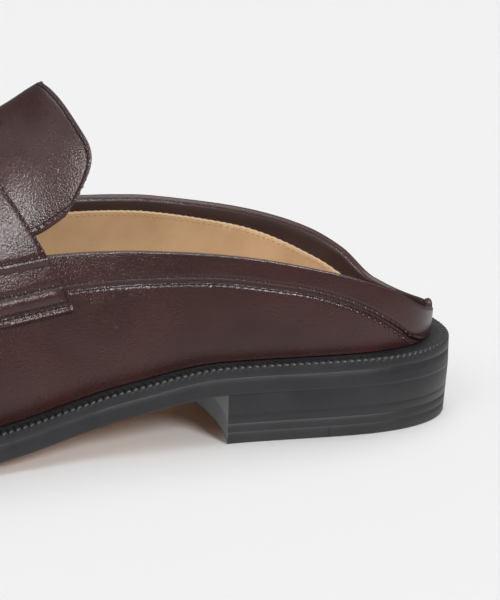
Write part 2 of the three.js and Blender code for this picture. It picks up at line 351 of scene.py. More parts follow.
    def flare(self, f: float, side: int, angle: float) -> float:
        """How far the back of the collar leans out over the welt, in mm.

        Args:
            f: share of the way from back to toe.
            side: 1 medial, -1 lateral.
            angle: angle on the last, in radians.

        Returns:
            The lean in mm.
        """
        across = side * self.half(self.foot_s(f), self.show)
        if self.foot_s(f) > 40:
            return 0.0
        amount, middle, width = self.lean_out
        return amount * bell(across, middle, width) * smoothstep(angle, -LEAN, -LEAN + 0.075)

    def top_angle(self, f: float, side: int) -> float:
        """Where the upper ends: collar, throat line or ridge.

        Args:
            f: share of the way from back to toe.
            side: 1 medial, -1 lateral.

        Returns:
            The angle in radians.
        """
        start, end, power = self.throat
        s = self.foot_s(f)
        if s >= end:
            return HALF_PI
        edge = self.collar_angle(f, side)
        k = max(0.0, (s - start) / (end - start))
        return edge + (HALF_PI - edge) * k**power

    def seam_angle(self, f: float, side: int, top: float) -> float:
        """The stitched line: the collar band's seam behind the strap and the apron's in front.

        Args:
            f: share of the way from back to toe.
            side: 1 medial, -1 lateral.
            top: angle of the upper's edge.

        Returns:
            The angle in radians.
        """
        s = self.foot_s(f)
        lift = self._medial(s) - self._lateral(s) if side > 0 and s < self.throat[0] else 0.0
        wanted = self.angle_at(f, self.collar * (self._seam(s) + lift))
        span = top + LEAN
        return min(max(wanted, 0.04 * span - LEAN), top - 0.22 * span)

    def throat_at(self, angle: float, side: int) -> float:
        """Distance from the back at which the throat line reaches an angle.

        Args:
            angle: angle on the last, in radians.
            side: 1 medial, -1 lateral.

        Returns:
            The distance in mm.
        """
        low, high = self.throat[0], self.throat[1]
        for _ in range(26):
            mid = (low + high) / 2
            if self.top_angle(self.share_of(mid), side) < angle:
                low = mid
            else:
                high = mid
        return low


LAST = Last()


class Pattern(Enum):
    """The kinds of surface that the materials know."""

    CALF = "calf"
    FACING = "facing"
    LINING = "lining"
    EDGE = "edge"
    WELT = "welt"
    RUBBER = "rubber"
    SOLE = "sole"
    CUT = "cut"
    THREAD = "thread"
    FLOOR = "floor"


@dataclass(frozen=True)
class Finish:
    """How a surface was made and what that gives the eye.

    Args:
        name: the material's name.
        colour: its sRGB colour as hex.
        second: the colour that it varies towards.
        pattern: which relief and variation it gets.
        roughness: 0 is a mirror, 1 is chalk.
        coat: weight of the clear dressing on top.
        coat_roughness: roughness of that dressing.
        ior: refractive index.
        grain: size of the relief in mm.
        depth: depth of the relief in mm.
    """

    name: str
    colour: str
    second: str
    pattern: Pattern
    roughness: float
    coat: float = 0.0
    coat_roughness: float = 0.2
    ior: float = 1.5
    grain: float = 1.0
    depth: float = 0.0


# Chrome-tanned calf, plated and glazed: deep brown, with sharp small lights on a fine pebbled grain.
CALF = Finish("calf_glazed_dark_brown", "#2e1412", "#3a1b18", Pattern.CALF, 0.26, 0.2, 0.14, 1.5, 0.42, 0.085)
# The same leather turned in, skived and dyed: darker, with less shine.
FACING = Finish("calf_facing_dyed", "#2c1814", "#331c18", Pattern.FACING, 0.5, 0.0, 0.3, 1.45, 0.6, 0.03)
# Lining leather, drum-dyed tan and ironed: warm, nearly matt, with faint long pulls.
LINING = Finish("lining_leather_tan", "#bf9d76", "#b08c67", Pattern.LINING, 0.62, 0.0, 0.3, 1.5, 0.9, 0.03)
# The lining's cut edge, undyed: paler than its face.
CUT = Finish("lining_cut_edge", "#c9ae88", "#c9ae88", Pattern.CUT, 0.8)
# Stacked leather, sanded flat, inked black and burnished with wax: satin, with fine lines along the layers.
EDGE = Finish("edge_inked_burnished", "#1c1c1f", "#242427", Pattern.EDGE, 0.42, 0.06, 0.35, 1.5, 0.35, 0.02)
# Welt leather, inked black and wheeled hot: a little glossier where the wheel pressed. Its top face is painted a
# shade darker than the edge's black, as painted shade where the upper's foot overhangs it.
WELT = Finish("welt_wheeled_black", "#161618", "#1e1e21", Pattern.WELT, 0.5, 0.0, 0.3, 1.45, 0.5, 0.02)
# Moulded rubber, buffed with the heel: black with a low even sheen.
RUBBER = Finish("rubber_top_piece", "#212123", "#29292c", Pattern.RUBBER, 0.5, 0.0, 0.3, 1.52, 0.3, 0.015)
# Vegetable-tanned sole leather, scoured and rolled: warm tan, faint fibres, slight sheen.
SOLE = Finish("sole_leather_natural", "#c08a5a", "#ab7648", Pattern.SOLE, 0.5, 0.1, 0.4, 1.5, 1.4, 0.03)
# Bonded polyester thread, dark brown and waxed: small bright glints.
THREAD = Finish("thread_waxed_brown", "#1b100f", "#1b100f", Pattern.THREAD, 0.55)
# The same thread in tan, for the lining.
TAN_THREAD = Finish("thread_waxed_tan", "#b9935f", "#b9935f", Pattern.THREAD, 0.5)
# Painted shadow of a needle hole: a nearly black body laid on the leather where the hole's shade falls.
HOLE_SHADOW = Finish("needle_hole_raw_edge", "#0d0807", "#0d0807", Pattern.THREAD, 0.9)
# Painted studio sweep, matt.
FLOOR = Finish("studio_floor", "#e8e8e8", "#e8e8e8", Pattern.FLOOR, 0.9)


# Width of the colour's clouds in mm, and of those on every other finish.
CLOUDS = {Pattern.CALF: 22.0, Pattern.LINING: 14.0, Pattern.SOLE: 12.0}
PLAIN_CLOUDS = 9.0
# Edges are sanded lengthwise and the lining is pulled that way, so their relief is drawn out along the shoe.
STRETCH = {
    Pattern.EDGE: (0.05, 0.05, 1.0),
    Pattern.RUBBER: (0.05, 0.05, 1.0),
    Pattern.WELT: (0.05, 0.05, 1.0),
    Pattern.LINING: (0.12, 0.5, 1.0),
}


def linear(hex_colour: str) -> tuple[float, float, float, float]:
    """An sRGB hex colour as linear RGBA."""
    values = [int(hex_colour[i : i + 2], 16) / 255 for i in (1, 3, 5)]
    return (*[v / 12.92 if v <= 0.04045 else ((v + 0.055) / 1.055) ** 2.4 for v in values], 1.0)


def add_node(tree: bpy.types.NodeTree, kind: str, **inputs: object) -> bpy.types.Node:
    """Adds a node; each keyword sets an input or a property, from a value or from another node's output.

    Args:
        tree: the node tree.
        kind: the node's type.
        inputs: set_ and a property's name, i and an input's number, or an input's name.

    Returns:
        The node.
    """
    made = tree.nodes.new(kind)
    for key, value in inputs.items():
        if key.startswith("set_"):
            setattr(made, key[4:], value)
            continue
        numbered = key.startswith("i") and key[1:].isdigit()
        socket = made.inputs[int(key[1:]) if numbered else key.replace("_", " ")]
        if isinstance(value, bpy.types.NodeSocket):
            tree.links.new(value, socket)
        else:
            socket.default_value = value
    return made


class Materials:
    """Builds each finish once."""

    def __init__(self) -> None:
        """Starts with no material made."""
        self.made: dict[str, bpy.types.Material] = {}

    def get(self, finish: Finish) -> bpy.types.Material:
        """The material of a finish.

        Args:
            finish: what to build.

        Returns:
            The Blender material.
        """
        if finish.name not in self.made:
            self.made[finish.name] = self._build(finish)
        return self.made[finish.name]

    def _build(self, finish: Finish) -> bpy.types.Material:
        """Makes a material from its finish.

        Args:
            finish: what to build.

        Returns:
            The material.
        """
        material = bpy.data.materials.new(finish.name)
        material.use_nodes = True
        tree = material.node_tree
        shader = tree.nodes["Principled BSDF"]
        shader.inputs["Roughness"].default_value = finish.roughness
        shader.inputs["IOR"].default_value = finish.ior
        shader.inputs["Coat Weight"].default_value = finish.coat
        shader.inputs["Coat Roughness"].default_value = finish.coat_roughness
        shader.inputs["Base Color"].default_value = linear(finish.colour)
        if finish.pattern in (Pattern.FLOOR, Pattern.THREAD, Pattern.CUT):
            return material
        place = add_node(tree, "ShaderNodeTexCoord").outputs["Object"]
        self._colour(tree, shader, finish, place)
        self._relief(tree, shader, finish, place)
        return material

    def _colour(
        self, tree: bpy.types.NodeTree, shader: bpy.types.Node, finish: Finish, place: bpy.types.NodeSocket
    ) -> None:
        """Varies the colour and the gloss in soft clouds.

        Args:
            tree: the node tree.
            shader: the Principled shader.
            finish: what to build.
            place: the Object coordinates.
        """
        scale = 1 / (CLOUDS.get(finish.pattern, PLAIN_CLOUDS) * MM)
        cloud = add_node(tree, "ShaderNodeTexNoise", Vector=place, Scale=scale, Detail=4.0, Roughness=0.55)
        ramp = add_node(tree, "ShaderNodeMapRange", Value=cloud.outputs["Fac"], From_Min=0.35, From_Max=0.68)
        mix = add_node(
            tree, "ShaderNodeMix", set_data_type="RGBA", i0=ramp.outputs["Result"], i6=linear(finish.colour),
            i7=linear(finish.second),
        )
        tree.links.new(mix.outputs[2], shader.inputs["Base Color"])
        low, high = finish.roughness - 0.05, finish.roughness + 0.06
        gloss = add_node(tree, "ShaderNodeMapRange", Value=cloud.outputs["Fac"], To_Min=low, To_Max=high)
        tree.links.new(gloss.outputs["Result"], shader.inputs["Roughness"])

    def _relief(
        self, tree: bpy.types.NodeTree, shader: bpy.types.Node, finish: Finish, place: bpy.types.NodeSocket
    ) -> None:
        """Adds the grain, the pulls or the sanding lines as bump.

        Args:
            tree: the node tree.
            shader: the Principled shader.
            finish: what to build.
            place: the Object coordinates.
        """
        fine = 1 / (finish.grain * MM)
        vector = place
        if finish.pattern in STRETCH:
            drawn = add_node(tree, "ShaderNodeMapping", Vector=place, Scale=STRETCH[finish.pattern])
            vector = drawn.outputs["Vector"]
        small = add_node(tree, "ShaderNodeTexNoise", Vector=vector, Scale=fine, Detail=3.0, Roughness=0.6)
        height = small.outputs["Fac"]
        if finish.pattern is Pattern.CALF:
            math_node = "ShaderNodeMath"
            cells = add_node(tree, "ShaderNodeTexVoronoi", Vector=place, Scale=fine * 0.9, set_feature="F1")
            pores = add_node(tree, math_node, set_operation="MULTIPLY", i0=cells.outputs["Distance"], i1=0.8)
            rough = add_node(tree, math_node, set_operation="SUBTRACT", i0=height, i1=pores.outputs[0])
            back = add_node(tree, "ShaderNodeSeparateXYZ", Vector=place)
            # The pull over the last's heel smooths the grain towards the back.
            fade = add_node(
                tree, "ShaderNodeMapRange", Value=back.outputs["X"], From_Min=20 * MM, From_Max=85 * MM, To_Min=1.0,
                To_Max=0.55,
            )
            grain = add_node(tree, math_node, set_operation="MULTIPLY", i0=rough.outputs[0], i1=fade.outputs[0])
            folds = add_node(
                tree, "ShaderNodeTexNoise", Vector=place, Scale=1 / (4.5 * MM), Detail=5.0, Roughness=0.62,
                Distortion=0.6,
            )
            scaled = add_node(tree, math_node, set_operation="MULTIPLY", i0=folds.outputs["Fac"], i1=0.5)
            total = add_node(tree, math_node, set_operation="ADD", i0=grain.outputs[0], i1=scaled.outputs[0])
            height = total.outputs[0]
        bump = add_node(tree, "ShaderNodeBump", Strength=1.0, Distance=finish.depth * MM, Height=height)
        tree.links.new(bump.outputs["Normal"], shader.inputs["Normal"])
        if finish.coat > 0:
            tree.links.new(bump.outputs["Normal"], shader.inputs["Coat Normal"])


MATERIALS = Materials()
Place = Callable[[int, int], Vector]
Line = list[tuple[Vector, Vector]]


@dataclass
class Row:
    """One row of stitches.

    Args:
        line: points and outward directions along it, in mm.
        pitch: from stitch to stitch.
        pucker: how far the puckers lie to the row's left, or None for a flat row.
        tan: whether it is sewn with the lining's thread.
    """

    line: Line
    pitch: float = 1.95
    pucker: float | None = 0.35
    tan: bool = False


def surface_piece(
    name: str,
    columns: int,
    rows: int,
    place: Place,
    finishes: Sequence[Finish],
    nodes: Sequence[str],
    slot: str,
    pick: Callable[[int, int], int] | None = None,
    drop: Callable[[int, int], bool] | None = None,
    caps: bool = False,
) -> bpy.types.Object:
    """A closed piece made of a grid that is laid on a surface and welded where it meets itself.

    Args:
        name: the object's name.
        columns: faces one way.
        rows: faces the other way.
        place: gives the point, in mm, of a grid crossing.
        finishes: the materials, in slot order.
        nodes: the CAD nodes that it stands for.
        slot: the name of a material slot.
        pick: the material index of a face; the first one if left out.
        drop: says which faces to leave out.
        caps: whether open ends are closed with flat faces.

    Returns:
        The finished object, in the row frame.
    """
    bm = bmesh.new()
    bmesh.ops.create_grid(bm, x_segments=columns, y_segments=rows, size=1.0)
    if len(bm.verts) != (columns + 1) * (rows + 1):
        raise RuntimeError("the grid has another count than expected")
    where = {v: (round((v.co.x + 1) / 2 * columns), round((v.co.y + 1) / 2 * rows)) for v in bm.verts}
    gone = []
    for face in bm.faces:
        centre = face.calc_center_median()
        i, j = int((centre.x + 1) / 2 * columns), int((centre.y + 1) / 2 * rows)
        if pick:
            face.material_index = pick(i, j)
        if drop and drop(i, j):
            gone.append(face)
        face.smooth = True
    for v, (i, j) in where.items():
        v.co = place(i, j) * MM
    if gone:
        bmesh.ops.delete(bm, geom=gone, context="FACES")
    bmesh.ops.remove_doubles(bm, verts=bm.verts, dist=MERGE)
    if caps:
        bmesh.ops.holes_fill(bm, edges=[e for e in bm.edges if e.is_boundary], sides=0)
    bmesh.ops.delete(bm, geom=[v for v in bm.verts if not v.link_faces], context="VERTS")
    bmesh.ops.recalc_face_normals(bm, faces=bm.faces)
    mesh = bpy.data.meshes.new(name)
    bm.to_mesh(mesh)
    mesh.set_sharp_from_angle(angle=SHARP)
    open_edges = sum(1 for e in bm.edges if len(e.link_faces) != 2)
    bm.free()
    piece = bpy.data.objects.new(name, mesh)
    for finish in finishes:
        mesh.materials.append(MATERIALS.get(finish))
    bpy.context.scene.collection.objects.link(piece)
    return settle(piece, nodes, slot, open_edges)


def settle(piece: bpy.types.Object, nodes: Sequence[str], slot: str, open_edges: int = 0) -> bpy.types.Object:
    """Gives a piece its body, hides the CAD parts that it stands for, and logs it.

    Args:
        piece: the object.
        nodes: the CAD nodes that it stands for.
        slot: the name of a material slot; not used.
        open_edges: how many edges do not join two faces.

    Returns:
        The same object.
    """
    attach(piece, "root")
    if nodes:
        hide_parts(*nodes)
    LOG.info("%s: %d faces, %d edges not closed", piece.name, len(piece.data.polygons), open_edges)
    return piece


@dataclass(frozen=True)
class Crease:
    """A shallow fold drawn on the last, from one place to another.

    Args:
        side: 1 medial, -1 lateral.
        start: distance from the back and angle in degrees.
        end: the same for its other end.
        depth: in mm; below 0 it stands proud.
        width: in mm.
    """

    side: int
    start: tuple[float, float]
    end: tuple[float, float]
    depth: float
    width: float

    def at(self, s: float, degrees: float, scale: float) -> float:
        """Its depth at a place, with scale in mm per degree.

        Args:
            s: distance from the back, in mm.
            degrees: angle in degrees.
            scale: mm per degree.

        Returns:
            The depth in mm.
        """
        ax, ay = self.start[0], self.start[1] * scale
        bx, by = self.end[0], self.end[1] * scale
        px, py = s - ax, degrees * scale - ay
        dx, dy = bx - ax, by - ay
        t = min(max((px * dx + py * dy) / (dx * dx + dy * dy), 0.0), 1.0)
        away = math.hypot(px - dx * t, py - dy * t)
        if away > 3 * self.width:
            return 0.0
        fade = 0.35 + 0.65 * math.sin(math.pi * min(max(t, 0.02), 0.98))
        return self.depth * bell(away, 0.0, self.width) * fade


CREASES = (
    Crease(-1, (117, 27), (98, 3), 0.22, 3.2),
    Crease(-1, (122, 6), (106, -7), 0.2, 3.0),
    Crease(-1, (104, 20), (88, 6), 0.12, 2.4),
    Crease(-1, (168, 14), (150, -2), 0.3, 3.6),
    Crease(-1, (176, 22), (164, 4), 0.22, 3.0),
    Crease(1, (117, 25), (99, 2), 0.2, 3.2),
    Crease(1, (168, 16), (152, 0), 0.28, 3.6),
    Crease(-1, (183, 60), (180, 88), 0.16, 4.0),
    Crease(1, (186, 56), (182, 88), 0.16, 4.0),
)


# How far the facing reaches down inside, in mm, by share of the length.
FACING_DEPTH = (
    (0, 5.5), (0.11, 5.5), (0.14, 4.8), (0.163, 4.05), (0.194, 3.35), (0.24, 3.0), (0.28, 2.65), (0.35, 2.35),
    (0.4, 2.4), (1, 2.4),
)


@dataclass
class Upper:
    """The leather shell: quarters, collar band, vamp and apron, with the facing turned in at the top."""

    columns: int = 720
    below: int = 24
    across: int = 26
    above: int = 12
    edge: int = 6
    inside: int = 12
    seam_reach: float = 4.2
    band_span: tuple[float, float, float, float] = (9.0, 17.0, 120.0, 128.0)
    apron_span: tuple[float, float] = (158.0, 166.0)
    facing: Curve = field(default_factory=lambda: Curve(FACING_DEPTH, LAST.length))
    cache: dict[int, tuple[float, int, float, float, float, float]] = field(default_factory=dict)

    def column(self, k: int) -> tuple[float, int, float, float, float, float]:
        """Share, side, top angle, seam angle, mm per radian there and reach of the seam zone of a column.

        Args:
            k: the column.

        Returns:
            The six values.
        """
        k %= self.columns
        if k not in self.cache:
            half = self.columns // 2
            f = k / half if k <= half else (self.columns - k) / half
            side = 1 if k <= half else -1
            top = LAST.top_angle(f, side)
            seam = LAST.seam_angle(f, side, top)
            rate = LAST.rate(f, side, seam)
            reach = min(self.seam_reach, 0.8 * (top - seam) * rate, 0.95 * (seam + LEAN) * rate)
            self.cache[k] = (f, side, top, seam, rate, reach)
        return self.cache[k]

    def relief(self, s: float, side: int, angle: float, d: float, rate: float) -> float:
        """How far the outer skin stands out from the last at a place d mm above the seam.

        Args:
            s: distance from the back, in mm.
            side: 1 medial, -1 lateral.
            angle: angle on the last, in radians.
            d: distance above the seam, in mm.
            rate: mm per radian at the seam.

        Returns:
            The distance in mm.
        """
        start, full, fade, end = self.band_span
        band = smoothstep(s, start, full) * (1 - smoothstep(s, fade, end))
        apron = smoothstep(s, *self.apron_span)
        seam = 0.26 * smoothstep(d, -0.2, 0.12) * (1 - smoothstep(d, 6, 18))
        seam += 0.36 * bell(d, 0.14, 0.34) - 0.34 * bell(d, -0.55, 0.36) - 0.14 * bell(d, 0.8, 0.3)
        seam -= 0.2 * bell(d, -1.25, 0.34)
        raised = 1.25 * bell(d, 0.0, 1.05) - 0.35 * bell(d, -2.1, 0.7) - 0.3 * bell(d, 2.1, 0.7)
        out = band * seam + apron * raised
        degrees = math.degrees(angle)
        for crease in CREASES:
            if crease.side == side and abs(s - crease.start[0]) < 45:
                out -= crease.at(s, degrees, rate * math.pi / 180)
        return out * smoothstep(HALF_PI - angle, 0.0, 0.06)

    def outer_point(self, f: float, side: int, angle: float, d: float, rate: float, lift: float = 0.0) -> Vector:
        """A point of the outer skin with its relief and the leather's slow swell.

        Args:
            f: share of the way from back to toe.
            side: 1 medial, -1 lateral.
            angle: angle on the last, in radians.
            d: distance above the seam, in mm.
            rate: mm per radian at the seam.
            lift: extra distance outwards, in mm.

        Returns:
            The point in mm.
        """
        s = LAST.foot_s(f)
        plain = LAST.surface(f, side, angle, LAST.outer)
        swell = 0.16 * noise.noise(plain * 0.055) + 0.07 * noise.noise(plain * 0.14 + Vector((7, 3, 1)))
        swell *= smoothstep(angle, -LEAN, -LEAN + 0.12)
        out = self.relief(s, side, angle, d, rate) + swell + lift + LAST.flare(f, side, angle)
        return LAST.surface(f, side, angle, LAST.outer.raised(out))

    def place(self, k: int, j: int) -> Vector:
        """The point of a grid crossing: up the outside, over the edge, down the inside.

        Args:
            k: the column.
            j: the row.

        Returns:
            The point in mm.
        """
        f, side, top, seam, rate, reach = self.column(k)
        outside = self.below + self.across + self.above
        span = reach / rate
        if j <= outside:
            if j <= self.below:
                angle = -LEAN + (seam - span + LEAN) * j / self.below
            elif j <= self.below + self.across:
                angle = seam - span + 2 * span * (j - self.below) / self.across
            else:
                t = (j - self.below - self.across) / self.above
                angle = seam + span + (top - seam - span) * t
            return self.outer_point(f, side, angle, (angle - seam) * rate, rate)
        if j < outside + self.edge:
            phi = math.pi * (j - outside) / self.edge
            high = self.outer_point(f, side, top, (top - seam) * rate, rate)
            low = LAST.surface(f, side, top, LAST.inner.raised(LAST.flare(f, side, top)))
            below = LAST.surface(f, side, top - 0.02, LAST.outer)
            rise = (LAST.surface(f, side, top, LAST.outer) - below).normalized()
            mid = (high + low) / 2
            over = 0.8 if top < ON_RIDGE else 0.0
            return mid + (high - low) / 2 * math.cos(phi) + rise * math.sin(phi) * over
        t = (j - outside - self.edge) / self.inside
        if t > 1:
            return self.outer_point(f, side, -LEAN, (-LEAN - seam) * rate, rate)
        angle = top + (-LEAN - top) * t
        return LAST.surface(f, side, angle, LAST.inner.raised(LAST.flare(f, side, angle)))

    def build(self) -> bpy.types.Object:
        """Makes the shell.

        Returns:
            The object.
        """
        outside = self.below + self.across + self.above
        closed = {k for k in range(self.columns) if self.column(k)[2] >= ON_RIDGE}

        def drop(k: int, j: int) -> bool:
            """Leaves out the edge where both skins run on over the ridge."""
            both = k in closed and (k + 1) % self.columns in closed
            return both and outside <= j < outside + self.edge

        return surface_piece(
            "upper_shell", self.columns, outside + self.edge + self.inside + 1, self.place, (CALF, FACING),
            ["upper"], "upper_leather", pick=lambda k, j: 1 if j >= outside + self.edge - 1 else 0, drop=drop,
        )


@dataclass
class Lining:
    """Tan lining glued inside, with a pinked edge below the facing."""

    columns: int = 1000
    rows: int = 14
    edge: int = 4
    glue: float = 0.06
    thickness: float = 0.75
    pitch: float = 1.9
    bite: float = 0.22

    def column(self, k: int, upper: Upper) -> tuple[float, int, float]:
        """Share, side and top angle of a column.

        Args:
            k: the column.
            upper: the shell round it.

        Returns:
            The three values.
        """
        half = self.columns // 2
        k %= self.columns
        f = k / half if k <= half else (self.columns - k) / half
        side = 1 if k <= half else -1
        top = LAST.top_angle(f, side)
        if top < ON_RIDGE:
            s = LAST.foot_s(f)
            rate = LAST.rate(f, side, top)
            fade = (0.55 + 0.45 * smoothstep(s, 8, 22)) * (1 - 0.5 * smoothstep(s, 125, 150))
            under = upper.facing(s) * fade + self.bite * abs(math.sin(math.pi * s / self.pitch))
            top = max(top - under / rate, -LEAN + 0.05)
        return f, side, top

    def build(self, upper: Upper) -> bpy.types.Object:
        """Makes the lining inside the shell.

        Args:
            upper: the shell round it.

        Returns:
            The object.
        """
        skin = LAST.inner.raised(-self.glue)
        face = skin.raised(-self.thickness)
        info = [self.column(k, upper) for k in range(self.columns)]

        def place(k: int, j: int) -> Vector:
            """Up the glued side, over the cut edge and down the face.

            Args:
                k: the column.
                j: the row.

            Returns:
                The point in mm.
            """
            f, side, top = info[k % self.columns]
            if j <= self.rows:
                return LAST.surface(f, side, -LEAN + (top + LEAN) * j / self.rows, skin)
            if j <= self.rows + self.edge:
                t = (j - self.rows) / self.edge
                return LAST.surface(f, side, top, skin).lerp(LAST.surface(f, side, top, face), t)
            t = (j - self.rows - self.edge) / self.rows
            if t > 1:
                return LAST.surface(f, side, -LEAN, skin)
            return LAST.surface(f, side, top + (-LEAN - top) * t, face)

        closed = {k for k in range(self.columns) if info[k][2] >= ON_RIDGE}

        def drop(k: int, j: int) -> bool:
            """Leaves out the cut edge where the lining runs on over the ridge."""
            both = k in closed and (k + 1) % self.columns in closed
            return both and self.rows <= j < self.rows + self.edge

        def pick(k: int, j: int) -> int:
            """The cut edge has its own finish."""
            return 1 if self.rows <= j < self.rows + self.edge else 0

        rows = 2 * self.rows + self.edge + 1
        return surface_piece(
            "lining", self.columns, rows, place, (LINING, CUT), [], "lining", pick=pick, drop=drop
        )


def spread(length: float, steps: int, radius: float) -> list[float]:
    """Shares from 0 to 1, close together within a radius of both ends.

    Args:
        length: the whole length in mm.
        steps: how many even steps lie between the ends.
        radius: the rounded edge's radius in mm.

    Returns:
        The shares in rising order.
    """
    ends = [0.0, 0.06, 0.2, 0.45, 1.0]
    near = [radius * e / length for e in ends]
    body = [near[-1] + (1 - 2 * near[-1]) * i / steps for i in range(1, steps)]
    return near + body + [1 - e for e in reversed(near)]


def round_edge(distance: float, radius: float) -> float:
    """Share of the half thickness at a distance from the edge."""
    t = min(max(distance / radius, 0.0), 1.0)
    return math.sqrt(1 - (1 - t) ** 2)


def column_places(i: int) -> list[tuple[float, float]]:
    """Places as (v, w) from rear to front at one step of a table across a ply."""
    return [(-i / TABLE_STEPS, j / TABLE_STEPS) for j in range(TABLE_STEPS + 1)]


def from_table(table: Sequence[float], v: float) -> float:
    """The value of a table across a ply, between its steps.

    Args:
        table: one value for each step from the middle to the lower edge.
        v: place across, from -1 to 1.

    Returns:
        The value.
    """
    place = abs(v) * TABLE_STEPS
    i = min(int(place), TABLE_STEPS - 1)
    return table[i] + (table[i + 1] - table[i]) * (place - i)


@dataclass
class Plate:
    """A curved ply with rounded edges.

    Args:
        name: the object's name.
        width: about how wide it is across, in mm, for the rounding.
        length: about how long it is, in mm.
        point: gives the point at (across -1 to 1, along 0 to 1, level 0 to 1).
        relief: added level, in shares of the thickness, of the top face.
    """

    name: str
    width: float
    length: float
    point: Callable[[float, float, float], Vector]
    relief: Callable[[float, float], float] = lambda v, w: 0.0
    radius: float = 0.8
    steps: tuple[int, int] = (110, 60)

    def build(self, finishes: Sequence[Finish], nodes: Sequence[str], slot: str) -> bpy.types.Object:
        """Makes the ply from a grid that runs over the top and back underneath.

        Args:
            finishes: the materials, in slot order.
            nodes: the CAD nodes that it stands for.
            slot: the name of a material slot.

        Returns:
            The object.
        """
        vs = [2 * t - 1 for t in spread(self.width, self.steps[0], self.radius)]
        ws = spread(self.length, self.steps[1], self.radius)
        count = len(ws) - 1

        def place(i: int, j: int) -> Vector:
            """Over the top and back underneath.

            Args:
                i: the column.
                j: the row.

            Returns:
                The point in mm.
            """
            v = vs[j]
            top = i <= count
            w = ws[i] if top else ws[2 * count - i]
            away = min((1 - abs(v)) * self.width / 2, w * self.length, (1 - w) * self.length)
            half = 0.5 * round_edge(away, self.radius)
            if top:
                return self.point(v, w, 0.5 + half + self.relief(v, w) * round_edge(away, self.radius))
            return self.point(v, w, 0.5 - half)

        return surface_piece(self.name, 2 * count, len(vs) - 1, place, finishes, nodes, slot)


